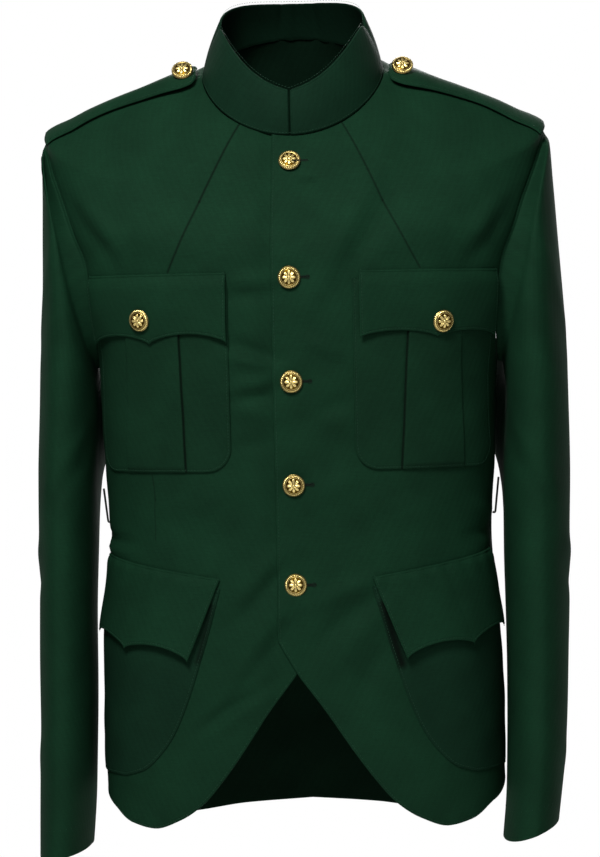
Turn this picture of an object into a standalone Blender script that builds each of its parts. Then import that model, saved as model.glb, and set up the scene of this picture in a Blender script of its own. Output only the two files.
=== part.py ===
# A dark green stand-collar military tunic, worn and hollow, modelled piece by piece as a tailor cuts it.
# Units are metres. The front faces -Y, +X is the wearer's left, and +Z is up.
# The origin is the middle of the neck, level with the front ends of the shoulder straps.
import bmesh
import bpy
import numpy as np

# Cloth walls and the gaps between pieces
CLOTH = 0.0020
COLLAR_CLOTH = 0.0028
PATCH_CLOTH = 0.0014
PLEAT_RISE = 0.0013
FLAP_CLOTH = 0.0018
STRAP_CLOTH = 0.0026
SEAM_GAP = 0.0003
LAID_GAP = 0.0005

# Rings of the body from the hem to the neck. Level is the height of the ring at the sides of the body,
# front_level and back_level are its heights at the centre front and the centre back.
BODY_COLUMNS = ("level", "half_width", "front", "front_level", "back", "back_level", "square")
BODY_RINGS = (
    (-0.780, 0.1890, 0.1180, -0.780, 0.1250, -0.780, 2.50),
    (-0.640, 0.1890, 0.1200, -0.640, 0.1250, -0.640, 2.50),
    (-0.540, 0.1880, 0.1180, -0.540, 0.1150, -0.540, 2.50),
    (-0.430, 0.1805, 0.1120, -0.430, 0.0980, -0.430, 2.50),
    (-0.350, 0.1850, 0.1200, -0.350, 0.1040, -0.350, 2.50),
    (-0.270, 0.1880, 0.1270, -0.270, 0.1140, -0.270, 2.50),
    (-0.210, 0.2008, 0.1300, -0.210, 0.1190, -0.205, 2.60),
    (-0.170, 0.2090, 0.1300, -0.172, 0.1210, -0.160, 2.60),
    (-0.135, 0.2205, 0.1270, -0.152, 0.1220, -0.125, 2.60),
    (-0.100, 0.2275, 0.1190, -0.137, 0.1200, -0.092, 2.50),
    (-0.065, 0.2335, 0.1110, -0.123, 0.1140, -0.060, 2.28),
    (-0.051, 0.2350, 0.1060, -0.113, 0.1090, -0.047, 2.22),
    (-0.036, 0.2080, 0.0975, -0.101, 0.1010, -0.030, 2.24),
    (-0.014, 0.1550, 0.0870, -0.082, 0.0890, -0.003, 2.15),
    (0.001, 0.1080, 0.0775, -0.065, 0.0770, 0.028, 2.05),
    (0.005, 0.0860, 0.0720, -0.057, 0.0700, 0.044, 2.00),
)
TILT_POWER = 1.2
ARMPIT = -0.270
SHOULDER_TIP = -0.051
WAIST = -0.430

# The hem, as its height at a share of the way from the centre front, or centre back, to the side
HEM_COLUMNS = ("share", "height")
HEM_FRONT = (
    (0.00, -0.554), (0.10, -0.588), (0.19, -0.622), (0.27, -0.650), (0.35, -0.673),
    (0.44, -0.688), (0.55, -0.697), (0.66, -0.693), (0.76, -0.682), (1.00, -0.662),
)
HEM_BACK = ((0.00, -0.700), (0.25, -0.704), (0.50, -0.710), (0.75, -0.698), (1.00, -0.662))
OVERLAP_RISE = 1.70

# The front opening: how far the outer and the inner front pass the centre line
OUTER_LAP = 0.0135
INNER_LAP = 0.0230
STEP_RUN = 0.0150

# Armhole: how far it cuts into the front and back quarters, measured round the body
FRONT_CUT = 0.069
BACK_CUT = 0.062

# Grid sizes of the body pieces
FRONT_COLUMNS = 14
BACK_COLUMNS = 10
SKIRT_ROWS = 8
CHEST_ROWS = 4
ARMHOLE_ROWS = 10
SHOULDER_ROWS = 6
ARMHOLE_FIRST = SKIRT_ROWS + CHEST_ROWS
ARMHOLE_LAST = ARMHOLE_FIRST + ARMHOLE_ROWS


def column(name):
    place = BODY_COLUMNS.index(name)
    return np.array([ring[place] for ring in BODY_RINGS])


def smooth_rows(known, values, wanted):
    """Smooth curve through the known values that never overshoots between two of them."""
    steps = np.diff(known)
    slopes = np.diff(values) / steps
    tangents = np.zeros(len(known))
    tangents[0] = slopes[0]
    tangents[-1] = slopes[-1]
    for index in range(1, len(known) - 1):
        before = slopes[index - 1]
        after = slopes[index]
        if before * after > 0.0:
            first = 2.0 * steps[index] + steps[index - 1]
            second = steps[index] + 2.0 * steps[index - 1]
            tangents[index] = (first + second) / (first / before + second / after)
    wanted = np.clip(np.asarray(wanted, dtype=float), known[0], known[-1])
    place = np.clip(np.searchsorted(known, wanted) - 1, 0, len(steps) - 1)
    part = (wanted - known[place]) / steps[place]
    start = values[place] * (1.0 + 2.0 * part) * (1.0 - part) ** 2
    end = values[place + 1] * part ** 2 * (3.0 - 2.0 * part)
    leave = tangents[place] * steps[place] * part * (1.0 - part) ** 2
    arrive = tangents[place + 1] * steps[place] * part ** 2 * (part - 1.0)
    return start + end + leave + arrive


LEVELS = column("level")
WIDTHS = column("half_width")
RING_TRAVEL = np.concatenate(([0.0], np.cumsum(np.hypot(np.diff(LEVELS), np.diff(WIDTHS)))))
NECK_TRAVEL = RING_TRAVEL[-1]


def travel_at_level(level):
    """How far up the side of the body a ring lies, for a height at the side."""
    return float(np.interp(level, LEVELS, RING_TRAVEL))


def ring_sizes(travel):
    return {name: float(smooth_rows(RING_TRAVEL, column(name), travel)) for name in BODY_COLUMNS}


def quarter(travel, side, facing):
    """Points of a quarter ring from the centre line (first) to the side of the body (last)."""
    sizes = ring_sizes(travel)
    depth = sizes["front"] if facing == "front" else sizes["back"]
    end_level = sizes["front_level"] if facing == "front" else sizes["back_level"]
    turn = np.linspace(0.0, np.pi / 2.0, 121)
    power = 2.0 / sizes["square"]
    across = sizes["half_width"] * np.abs(np.sin(turn)) ** power
    out = np.abs(np.cos(turn)) ** power
    out[-1] = 0.0
    height = sizes["level"] + (end_level - sizes["level"]) * out ** TILT_POWER
    sign = -1.0 if facing == "front" else 1.0
    points = np.stack((side * across, sign * depth * out, height), axis=1)
    return points


def along(points, distances):
    """Points at given distances along a quarter ring, mirrored where a distance is below nothing."""
    pieces = np.linalg.norm(np.diff(points, axis=0), axis=1)
    reach = np.concatenate(([0.0], np.cumsum(pieces)))
    distances = np.asarray(distances, dtype=float)
    found = np.stack([np.interp(np.abs(distances), reach, points[:, axis]) for axis in range(3)], axis=1)
    found[distances < 0.0, 0] *= -1.0
    return found


def quarter_length(travel, facing):
    points = quarter(travel, 1.0, facing)
    return float(np.linalg.norm(np.diff(points, axis=0), axis=1).sum())


def body_points(travel, distances, side, facing):
    return along(quarter(travel, side, facing), distances)


def body_normal(travel, distance, side, facing):
    """Outward direction of the body form at one place."""
    step = 0.0015
    low = max(travel - step, 0.0)
    high = min(travel + step, NECK_TRAVEL)
    length = quarter_length(travel, facing)
    near = min(distance, length - step)
    share = near / length
    here = body_points(travel, (near - step, near + step), side, facing)
    below = body_points(low, (share * quarter_length(low, facing),), side, facing)[0]
    above = body_points(high, (share * quarter_length(high, facing),), side, facing)[0]
    normal = np.cross(here[1] - here[0], above - below)
    normal = normal / np.linalg.norm(normal)
    middle = body_points(travel, (near,), side, facing)[0]
    outward = np.array((middle[0] * 0.5, middle[1], 0.0))
    if middle[2] > SHOULDER_TIP - 0.01:
        outward[2] = 0.10
    return normal if np.dot(normal, outward) > 0.0 else -normal


def hem_height(share, facing):
    table = HEM_FRONT if facing == "front" else HEM_BACK
    shares = np.array([row[0] for row in table])
    heights = np.array([row[1] for row in table])
    share = np.asarray(share, dtype=float)
    height = smooth_rows(shares, heights, np.clip(share, 0.0, 1.0))
    lapped = np.minimum(share, 0.0) * quarter_length(travel_at_level(-0.55), facing)
    return height - lapped * OVERLAP_RISE


def cloth_normals(grid, wrap):
    """Directions square to a grid of points, worked out from its neighbours."""
    if wrap:
        across = np.roll(grid, -1, axis=1) - np.roll(grid, 1, axis=1)
    else:
        across = np.gradient(grid, axis=1)
    upward = np.gradient(grid, axis=0)
    normals = np.cross(across, upward)
    return normals / np.linalg.norm(normals, axis=2, keepdims=True)


def material(name, colour, roughness, metallic):
    made = bpy.data.materials.new(name)
    made.use_nodes = True
    made.diffuse_color = colour
    shader = made.node_tree.nodes["Principled BSDF"]
    shader.inputs["Base Color"].default_value = colour
    shader.inputs["Roughness"].default_value = roughness
    shader.inputs["Metallic"].default_value = metallic
    return made


def add_solid(name, points, faces, used):
    mesh = bpy.data.meshes.new(name)
    mesh.from_pydata([tuple(point) for point in points], [], faces)
    mesh.materials.append(used)
    shape = bmesh.new()
    shape.from_mesh(mesh)
    bmesh.ops.recalc_face_normals(shape, faces=shape.faces)
    shape.to_mesh(mesh)
    shape.free()
    mesh.update()
    made = bpy.data.objects.new(name, mesh)
    bpy.context.scene.collection.objects.link(made)
    return made


def wall_solid(name, outer, inner, used, wrap=False):
    """Closed solid between two grids of points, the outer face first."""
    rows, columns = outer.shape[:2]
    count = rows * columns
    points = np.concatenate((outer.reshape(-1, 3), inner.reshape(-1, 3)))
    faces = []
    span = columns if wrap else columns - 1
    for row in range(rows - 1):
        for place in range(span):
            right = (place + 1) % columns
            low_left = row * columns + place
            low_right = row * columns + right
            up_left = low_left + columns
            up_right = low_right + columns
            faces.append((low_left, low_right, up_right, up_left))
            faces.append((count + low_left, count + up_left, count + up_right, count + low_right))
    for place in range(span):
        right = (place + 1) % columns
        top = (rows - 1) * columns
        faces.append((place, count + place, count + right, right))
        faces.append((top + place, top + right, count + top + right, count + top + place))
    if not wrap:
        for row in range(rows - 1):
            low = row * columns
            up = low + columns
            faces.append((low, up, count + up, count + low))
            low = low + columns - 1
            up = up + columns - 1
            faces.append((low, count + low, count + up, up))
    return add_solid(name, points, faces, used)


def facing_out(grid, normals, centre):
    """Turn all directions the same way, away from the centre of the form."""
    outward = grid - centre
    if (normals * outward).sum() < 0.0:
        return -normals
    return normals


for old in list(bpy.data.objects):
    bpy.data.objects.remove(old, do_unlink=True)

GREEN_CLOTH = material("dark green wool gabardine", (0.010, 0.034, 0.018, 1.0), 0.85, 0.0)
BRASS = material("gilt brass", (0.60, 0.45, 0.15, 1.0), 0.30, 1.0)
WIRE = material("black lacquered brass wire", (0.010, 0.012, 0.010, 1.0), 0.40, 0.0)


def armhole_share(level):
    """Nothing at the armpit and the shoulder tip, one across the widest part of the armhole."""
    middle = (ARMPIT + SHOULDER_TIP) / 2.0
    half = (SHOULDER_TIP - ARMPIT) / 2.0
    place = np.clip((level - middle) / half, -1.0, 1.0)
    return float(np.sqrt(max(0.0, 1.0 - place ** 2)))


def body_rows():
    """Rows above the waist, as travels up the body."""
    chest = np.linspace(WAIST, ARMPIT, CHEST_ROWS + 1)[:-1]
    turn = np.linspace(-np.pi / 2.0, np.pi / 2.0, ARMHOLE_ROWS + 1)
    middle = (ARMPIT + SHOULDER_TIP) / 2.0
    half = (SHOULDER_TIP - ARMPIT) / 2.0
    armhole = middle + half * np.sin(turn)
    rows = [travel_at_level(level) for level in chest]
    rows += [travel_at_level(level) for level in armhole]
    tip = travel_at_level(SHOULDER_TIP)
    rows += list(np.linspace(tip, NECK_TRAVEL, SHOULDER_ROWS + 1)[1:])
    return rows


def row_end(travel, facing):
    """Where a row of a body piece ends, measured round the body from its centre line."""
    level = ring_sizes(travel)["level"]
    cut = FRONT_CUT if facing == "front" else BACK_CUT
    length = quarter_length(travel, facing)
    return length - SEAM_GAP / 2.0 - cut * armhole_share(level)


def column_distances(starts, columns, end):
    """Distances round the body: the given first ones, then even steps to the end of the row."""
    rest = np.linspace(starts[-1], end, columns + 1)
    return np.concatenate((starts[:-1], rest))


def quarter_grid(side, facing, starts, columns):
    """Grid of points over a quarter of the body, from the hem up to the neck."""
    rows = []
    length = quarter_length(travel_at_level(WAIST), facing)
    shares = column_distances(starts, columns, length - SEAM_GAP / 2.0) / length
    hems = hem_height(shares, facing)
    for step in range(SKIRT_ROWS):
        part = step / SKIRT_ROWS
        heights = hems + (WAIST - hems) * part
        row = []
        for place, height in enumerate(heights):
            travel = travel_at_level(height)
            end = quarter_length(travel, facing) - SEAM_GAP / 2.0
            distance = column_distances(starts, columns, end)[place]
            row.append(body_points(travel, (distance,), side, facing)[0])
        rows.append(row)
    for travel in body_rows():
        distances = column_distances(starts, columns, row_end(travel, facing))
        rows.append(body_points(travel, distances, side, facing))
    return np.array([np.array(row) for row in rows])


def square_to_seams(grid, normals, seam_columns):
    """Keep the walls along the side and shoulder seams square to the seam, so two pieces never cross."""
    last = len(grid) - 1
    for first_row, last_row in ((0, ARMHOLE_FIRST), (ARMHOLE_LAST, last)):
        for seam in seam_columns:
            for row in range(first_row, last_row + 1):
                below = grid[max(row - 1, first_row), seam]
                above = grid[min(row + 1, last_row), seam]
                rise = above - below
                outward = np.sign(grid[row, seam, 0])
                square = np.array((outward * rise[2], 0.0, -outward * rise[0]))
                normals[row, seam] = square / np.linalg.norm(square)
    return normals


CHEST_CENTRE = np.array((0.0, 0.0, -0.30))
armhole_edges = {}

# Wearer's left front, the outer one
outer = quarter_grid(1.0, "front", (-OUTER_LAP,), FRONT_COLUMNS)
normals = facing_out(outer, cloth_normals(outer, False), CHEST_CENTRE)
normals = square_to_seams(outer, normals, (-1,))
wall_solid("front_left", outer, outer - normals * CLOTH, GREEN_CLOTH)
rows = slice(ARMHOLE_FIRST, ARMHOLE_LAST + 1)
armhole_edges["front left"] = (outer[rows, -1], normals[rows, -1])

# Wearer's right front, stepping in beneath the outer one
full_step = OUTER_LAP + 0.001
outer = quarter_grid(-1.0, "front", (-INNER_LAP, 0.0, full_step, full_step + STEP_RUN), FRONT_COLUMNS - 1)
normals = facing_out(outer, cloth_normals(outer, False), CHEST_CENTRE)
normals = square_to_seams(outer, normals, (-1,))
step_in = np.clip((outer[:, :, 0:1] + full_step + STEP_RUN) / STEP_RUN, 0.0, 1.0)
armhole_edges["front right"] = (outer[rows, -1], normals[rows, -1])
outer = outer - normals * (CLOTH + LAID_GAP) * step_in
wall_solid("front_right", outer, outer - normals * CLOTH, GREEN_CLOTH)

# Back, cut in one piece
left = quarter_grid(1.0, "back", (0.0,), BACK_COLUMNS)
right = quarter_grid(-1.0, "back", (0.0,), BACK_COLUMNS)
outer = np.concatenate((right[:, ::-1], left[:, 1:]), axis=1)
normals = facing_out(outer, cloth_normals(outer, False), CHEST_CENTRE)
normals = square_to_seams(outer, normals, (0, -1))
wall_solid("back", outer, outer - normals * CLOTH, GREEN_CLOTH)
armhole_edges["back left"] = (outer[rows, -1], normals[rows, -1])
armhole_edges["back right"] = (outer[rows, 0], normals[rows, 0])

# Sleeves: rings down the arm, each by its inner and outer point seen from the front and its half depth.
# The arms don't hang quite alike, so each side has its own widths and its own slant at the cuff.
SLEEVE_COLUMNS = ("left_inner", "left_outer", "right_inner", "right_outer", "inner_z", "outer_z",
                  "half_depth", "middle_y", "sway")
SLEEVE_RINGS = (
    (0.1925, 0.2396, 0.1925, 0.2390, -0.2705, -0.0640, 0.0690, -0.003, 0.0010),
    (0.1925, 0.2414, 0.1925, 0.2400, -0.2800, -0.1000, 0.0740, -0.004, 0.0020),
    (0.1925, 0.2441, 0.1925, 0.2418, -0.2950, -0.1550, 0.0760, -0.004, 0.0032),
    (0.1922, 0.2480, 0.1926, 0.2440, -0.3150, -0.2250, 0.0760, -0.004, 0.0034),
    (0.1918, 0.2524, 0.1934, 0.2474, -0.3400, -0.3000, 0.0755, -0.004, 0.0028),
    (0.1906, 0.2538, 0.1946, 0.2496, -0.3800, -0.3700, 0.0750, -0.004, 0.0016),
    (0.1908, 0.2528, 0.1952, 0.2494, -0.4400, -0.4400, 0.0740, -0.005, 0.0010),
    (0.1928, 0.2520, 0.1964, 0.2490, -0.5200, -0.5200, 0.0730, -0.008, 0.0000),
    (0.1926, 0.2490, 0.1972, 0.2492, -0.6000, -0.6000, 0.0720, -0.012, 0.0000),
    (0.1918, 0.2462, 0.1984, 0.2492, -0.6700, -0.6700, 0.0710, -0.016, -0.0012),
    (0.1915, 0.2446, 0.1984, 0.2468, -0.7240, -0.7240, 0.0700, -0.018, -0.0050),
)
CUFF_COLUMNS = ("inner_rise", "outer_rise")
CUFFS = {"left": (0.0050, 0.0220), "right": (0.0020, -0.0060)}
CUFF_BEND = -0.60
CUFF_LENGTH = 0.124
SLEEVE_AROUND = 2 * ARMHOLE_ROWS
SLEEVE_SQUARE = 2.1


def armhole_loop(side_name):
    """Armhole edge from the armpit up the front and down the back, its normals, and the way out of it."""
    front_points, front_normals = armhole_edges["front " + side_name]
    back_points, back_normals = armhole_edges["back " + side_name]
    points = np.concatenate((front_points, back_points[-2:0:-1]))
    normals = np.concatenate((front_normals, back_normals[-2:0:-1]))
    points[0, 1] = 0.0
    points[ARMHOLE_ROWS, 1] = 0.0
    around = np.roll(points, -1, axis=0) - np.roll(points, 1, axis=0)
    ways = np.cross(around, normals)
    ways = ways / np.linalg.norm(ways, axis=1, keepdims=True)
    inward = points.mean(axis=0) - points
    if (ways * inward).sum() < 0.0:
        ways = -ways
    return points, normals, ways


def sleeve(name, side, side_name):
    """Arm of cloth: sewn ring, sleeve head, then rings down to the open cuff."""
    loop, sewn_normals, ways = armhole_loop(side_name)
    places = np.linspace(0.0, 2.0 * np.pi, SLEEVE_AROUND, endpoint=False)
    underarm = (((1.0 + np.cos(places)) / 2.0) ** 3)[:, None]
    overarm = (((1.0 - np.cos(places)) / 2.0) ** 8)[:, None]
    first = loop + ways * SEAM_GAP * (1.3 + 2.2 * overarm)
    second = first + ways * 0.0035 * (1.0 - underarm) + sewn_normals * (0.0008 + 0.0034 * underarm)
    rings = [first, second]
    across = np.cos(places)
    forward = np.sin(places)
    power = 2.0 / SLEEVE_SQUARE
    across = np.sign(across) * np.abs(across) ** power
    forward = np.sign(forward) * np.abs(forward) ** power
    inner_rise, outer_rise = CUFFS[side_name]
    for ring in SLEEVE_RINGS:
        sizes = dict(zip(SLEEVE_COLUMNS, ring))
        low = max(0.0, (CUFF_BEND - sizes["inner_z"]) / CUFF_LENGTH)
        middle_y = sizes["middle_y"]
        half_depth = sizes["half_depth"]
        inner_x = side * sizes[side_name + "_inner"] + sizes["sway"]
        outer_x = side * sizes[side_name + "_outer"] + sizes["sway"]
        inner = np.array((inner_x, middle_y, sizes["inner_z"] + inner_rise * low))
        outer_point = np.array((outer_x, middle_y, sizes["outer_z"] + outer_rise * low))
        middle = (inner + outer_point) / 2.0
        reach = (inner - outer_point) / 2.0
        rings.append(middle + across[:, None] * reach - forward[:, None] * np.array((0.0, half_depth, 0.0)))
    grid = np.array(rings)
    normals = cloth_normals(grid, True)
    outward = grid - grid.mean(axis=1, keepdims=True)
    if (normals * outward).sum() < 0.0:
        normals = -normals
    inside = grid - normals * CLOTH
    turned = sewn_normals * (1.0 - underarm) - ways * underarm
    turned = turned / np.linalg.norm(turned, axis=1, keepdims=True)
    inside[0] = first - turned * CLOTH
    wall_solid(name, grid, inside, GREEN_CLOTH, wrap=True)


sleeve("sleeve_left", 1.0, "left")
sleeve("sleeve_right", -1.0, "right")

# Stand collar: its top ring, leaning in from the neck seam
COLLAR_TOP_FRONT = -0.0150
COLLAR_TOP_SIDE = 0.0480
COLLAR_TOP_BACK = 0.0770
COLLAR_TOP_WIDTH = 0.0690
COLLAR_TOP_DEPTH_FRONT = 0.0740
COLLAR_TOP_DEPTH_BACK = 0.0600
COLLAR_FRONT_POWER = 1.9
COLLAR_BACK_SQUARE = 4.0
COLLAR_BACK_POWER = 0.30
COLLAR_AROUND = 44
COLLAR_ROWS = 4
COLLAR_SLIT = 0.0016
COLLAR_SWELL = 0.0022


def neck_edge(turns):
    """Points of the neck seam at even turns from the centre front, and the way that the cloth runs there."""
    base = []
    ways = []
    for turn in turns:
        facing = "front" if np.cos(turn) >= 0.0 else "back"
        side = 1.0 if np.sin(turn) >= 0.0 else -1.0
        ring = quarter(NECK_TRAVEL, side, facing)
        under = quarter(NECK_TRAVEL - 0.004, side, facing)
        share = np.arcsin(min(1.0, abs(np.sin(turn)))) / (np.pi / 2.0)
        spot = share * (len(ring) - 1)
        low = int(min(spot, len(ring) - 2))
        part = spot - low
        here = ring[low] * (1.0 - part) + ring[low + 1] * part
        there = under[low] * (1.0 - part) + under[low + 1] * part
        way = here - there
        base.append(here)
        ways.append(way / np.linalg.norm(way))
    return np.array(base), np.array(ways)


def collar():
    """Open ring of doubled cloth from the neck seam to the top edge, slit at the centre front."""
    turns = np.linspace(0.0, 2.0 * np.pi, COLLAR_AROUND + 1)
    base, ways = neck_edge(turns)
    forward = np.cos(turns)
    depth = np.where(forward >= 0.0, COLLAR_TOP_DEPTH_FRONT, COLLAR_TOP_DEPTH_BACK)
    dip = np.abs(forward) ** COLLAR_FRONT_POWER
    rear = np.maximum(0.0, 1.0 - np.abs(np.sin(turns)) ** COLLAR_BACK_SQUARE) ** COLLAR_BACK_POWER
    front_lift = COLLAR_TOP_SIDE + (COLLAR_TOP_FRONT - COLLAR_TOP_SIDE) * dip
    back_lift = COLLAR_TOP_SIDE + (COLLAR_TOP_BACK - COLLAR_TOP_SIDE) * rear
    lift = np.where(forward >= 0.0, front_lift, back_lift)
    top = np.stack((COLLAR_TOP_WIDTH * np.sin(turns), -depth * forward, lift), axis=1)
    low_ring = base + ways * SEAM_GAP + np.array((0.0, 0.0, 0.0002))
    grid = []
    for part in np.linspace(0.0, 1.0, COLLAR_ROWS + 1):
        row = low_ring * (1.0 - part) + top * part
        swell = COLLAR_SWELL * np.sin(np.pi * part)
        flat = row * np.array((1.0, 1.0, 0.0))
        row = row + flat / np.linalg.norm(flat, axis=1, keepdims=True) * swell
        grid.append(row)
    grid = np.array(grid)
    for row in grid:
        row[0, 0] = COLLAR_SLIT / 2.0
        row[-1, 0] = -COLLAR_SLIT / 2.0
    normals = cloth_normals(grid, False)
    outward = grid - grid.mean(axis=(0, 1))
    if (normals * outward).sum() < 0.0:
        normals = -normals
    normals[:, 0] = normals[:, 0] * np.array((0.0, 1.0, 1.0))
    normals[:, -1] = normals[:, -1] * np.array((0.0, 1.0, 1.0))
    wall_solid("collar", grid, grid - normals * COLLAR_CLOTH, GREEN_CLOTH)


collar()

# Pieces laid on the fronts. Around is measured on the cloth from the centre front, height is Z.
CHEST_FLAP_TOP = -0.184
CHEST_FLAP_OUTER = 0.205
CHEST_FLAP_COLUMNS = ("inner", "foot")
CHEST_FLAPS = {"left": (0.0630, -0.2450), "right": (0.0580, -0.2480)}
SCALLOP_RISE = 0.009
CHEST_PATCH_TOP = -0.192
CHEST_PATCH_FOOT = -0.366
CHEST_PATCH_INNER = 0.057
CHEST_PATCH_OUTER = 0.205
CHEST_PATCH_CORNER = 0.022
PLEAT_TOP = (0.105, 0.157)
PLEAT_FOOT = (0.100, 0.163)
FLAP_BASE = 0.0040
PATCH_BASE = 0.0009
LOWER_FLAP_TOP = ((0.070, -0.465), (0.205, -0.444))
LOWER_FLAP_FOOT = ((0.100, -0.541), (0.233, -0.520))
LOWER_FLAP_BASE = 0.0026
LOWER_FLAP_LIFT = 0.0060
LOWER_PATCH_COLUMNS = ("height", "inner", "outer")
LOWER_PATCH_ROWS = (
    (-0.474, 0.0700, 0.212), (-0.510, 0.0800, 0.226), (-0.543, 0.0900, 0.237), (-0.578, 0.1020, 0.242),
    (-0.610, 0.1170, 0.243), (-0.631, 0.1340, 0.243), (-0.643, 0.1500, 0.242), (-0.649, 0.1720, 0.239),
)
LOWER_PATCH_TILT = 0.016


def front_spots(side, heights, arounds, lifts):
    """Points standing a little off a front, for heights and distances round the body."""
    spots = []
    for height, around, lift in zip(heights, arounds, lifts):
        travel = travel_at_level(height)
        point = body_points(travel, (around,), side, "front")[0]
        spots.append(point + body_normal(travel, around, side, "front") * lift)
    return np.array(spots)


def laid_piece(name, side, heights, arounds, low_lift, high_lift):
    """Piece of cloth lying on a front, from grids of heights, distances and lifts."""
    rows = range(len(heights))
    inner = np.array([front_spots(side, heights[row], arounds[row], low_lift[row]) for row in rows])
    outer = np.array([front_spots(side, heights[row], arounds[row], high_lift[row]) for row in rows])
    wall_solid(name, outer, inner, GREEN_CLOTH)


def scallop(shares):
    """Rise of a three-pointed flap foot: nothing at both corners and at the middle point."""
    return SCALLOP_RISE * np.abs(np.sin(2.0 * np.pi * shares)) ** 0.6


def chest_flap(name, side, word):
    flap_inner, flap_foot = CHEST_FLAPS[word]
    shares = np.linspace(0.0, 1.0, 17)
    heights = []
    arounds = []
    for part in (0.0, 0.35, 0.7, 1.0):
        foot = flap_foot + scallop(shares)
        heights.append(CHEST_FLAP_TOP + (foot - CHEST_FLAP_TOP) * part)
        arounds.append(flap_inner + (CHEST_FLAP_OUTER - flap_inner) * shares)
    low = np.full((4, 17), FLAP_BASE)
    laid_piece(name, side, heights, arounds, low, low + FLAP_CLOTH)


def chest_patch(name, side):
    pleat_steps = (0.0, 0.04, 0.96, 1.0)
    heights = []
    arounds = []
    rises = []
    straight = CHEST_PATCH_FOOT + CHEST_PATCH_CORNER
    levels = list(np.linspace(CHEST_PATCH_TOP, straight, 5))
    levels += [straight - CHEST_PATCH_CORNER * np.sin(angle) for angle in np.radians((30.0, 60.0, 90.0))]
    for level in levels:
        drop = max(0.0, straight - level)
        inset = CHEST_PATCH_CORNER - np.sqrt(max(0.0, CHEST_PATCH_CORNER ** 2 - drop ** 2))
        part = (level - CHEST_PATCH_TOP) / (CHEST_PATCH_FOOT - CHEST_PATCH_TOP)
        first = PLEAT_TOP[0] + (PLEAT_FOOT[0] - PLEAT_TOP[0]) * part
        last = PLEAT_TOP[1] + (PLEAT_FOOT[1] - PLEAT_TOP[1]) * part
        inner = CHEST_PATCH_INNER + inset
        outer = CHEST_PATCH_OUTER - inset
        before = np.linspace(inner, first, 5)[:-1]
        pleat = first + (last - first) * np.array((0.0, 0.05, 0.35, 0.65, 0.95, 1.0))
        after = np.linspace(last, outer, 5)[1:]
        arounds.append(np.concatenate((before, pleat, after)))
        heights.append(np.full(14, level))
        rises.append(np.array((0.0,) * 5 + (1.0,) * 4 + (0.0,) * 5) * PLEAT_RISE)
    low = np.full((len(levels), 14), PATCH_BASE)
    high = low + PATCH_CLOTH + np.array(rises)
    laid_piece(name, side, heights, arounds, low, high)


def lower_flap(name, side):
    shares = np.linspace(0.0, 1.0, 17)
    parts = np.array((0.0, 0.3, 0.65, 1.0))
    top_start, top_end = np.array(LOWER_FLAP_TOP)
    foot_start, foot_end = np.array(LOWER_FLAP_FOOT)
    heights = []
    arounds = []
    low = []
    for part in parts:
        top = top_start[None] + (top_end - top_start)[None] * shares[:, None]
        foot = foot_start[None] + (foot_end - foot_start)[None] * shares[:, None]
        foot[:, 1] += scallop(shares)
        foot[:, 0] -= scallop(shares) * 0.35
        row = top + (foot - top) * part
        arounds.append(row[:, 0])
        heights.append(row[:, 1])
        low.append(LOWER_FLAP_BASE + LOWER_FLAP_LIFT * part ** 1.5 * (1.0 - 0.7 * shares))
    low = np.array(low)
    laid_piece(name, side, heights, arounds, low, low + FLAP_CLOTH)


def lower_patch(name, side):
    shares = np.linspace(0.0, 1.0, 12)
    heights = []
    arounds = []
    top, first_inner, first_outer = LOWER_PATCH_ROWS[0]
    foot = LOWER_PATCH_ROWS[-1][0]
    for height, inner, outer in LOWER_PATCH_ROWS:
        row = inner + (outer - inner) * shares
        across = (row - first_inner) / (first_outer - first_inner)
        arounds.append(row)
        heights.append(height + LOWER_PATCH_TILT * across * (height - foot) / (top - foot))
    low = np.full((len(heights), 12), PATCH_BASE)
    laid_piece(name, side, heights, arounds, low, low + PATCH_CLOTH)


for word, sign in (("left", 1.0), ("right", -1.0)):
    chest_patch("chest_pocket_" + word, sign)
    chest_flap("chest_flap_" + word, sign, word)
    lower_patch("lower_pocket_" + word, sign)
    lower_flap("lower_flap_" + word, sign)

# Shoulder straps, sewn in at the sleeve and buttoned near the collar
STRAP_COLUMNS = ("share", "half_width")
STRAP_ROWS = (
    (0.012, 0.0245), (0.15, 0.0240), (0.30, 0.0235), (0.45, 0.0228), (0.60, 0.0220),
    (0.74, 0.0214), (0.86, 0.0208), (0.925, 0.0185), (0.955, 0.0145), (0.970, 0.0090),
)
STRAP_MIDDLE = 0.0
STRAP_ACROSS = 6


def shoulder_spot(travel, side, depth, lift):
    """Point on the shoulder at a depth before (-) or behind (+) the shoulder seam."""
    facing = "front" if depth <= 0.0 else "back"
    ring = quarter(travel, side, facing)
    outs = np.abs(ring[:, 1])[::-1]
    point = np.array([np.interp(abs(depth), outs, ring[::-1, axis]) for axis in range(3)])
    lengths = np.concatenate(([0.0], np.cumsum(np.linalg.norm(np.diff(ring, axis=0), axis=1))))
    place = float(np.interp(abs(depth), outs, lengths[::-1]))
    return point + body_normal(travel, min(place, lengths[-1] - 0.004), side, facing) * lift


def shoulder_strap(name, side):
    tip = travel_at_level(SHOULDER_TIP)
    low_rows = []
    high_rows = []
    for share, half_width in STRAP_ROWS:
        travel = tip + (NECK_TRAVEL - tip) * share
        depths = STRAP_MIDDLE + np.linspace(-half_width, half_width, STRAP_ACROSS + 1)
        low_rows.append([shoulder_spot(travel, side, depth, PATCH_BASE) for depth in depths])
        high_rows.append([shoulder_spot(travel, side, depth, PATCH_BASE + STRAP_CLOTH) for depth in depths])
    wall_solid(name, np.array(high_rows), np.array(low_rows), GREEN_CLOTH)


shoulder_strap("shoulder_strap_left", 1.0)
shoulder_strap("shoulder_strap_right", -1.0)

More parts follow.
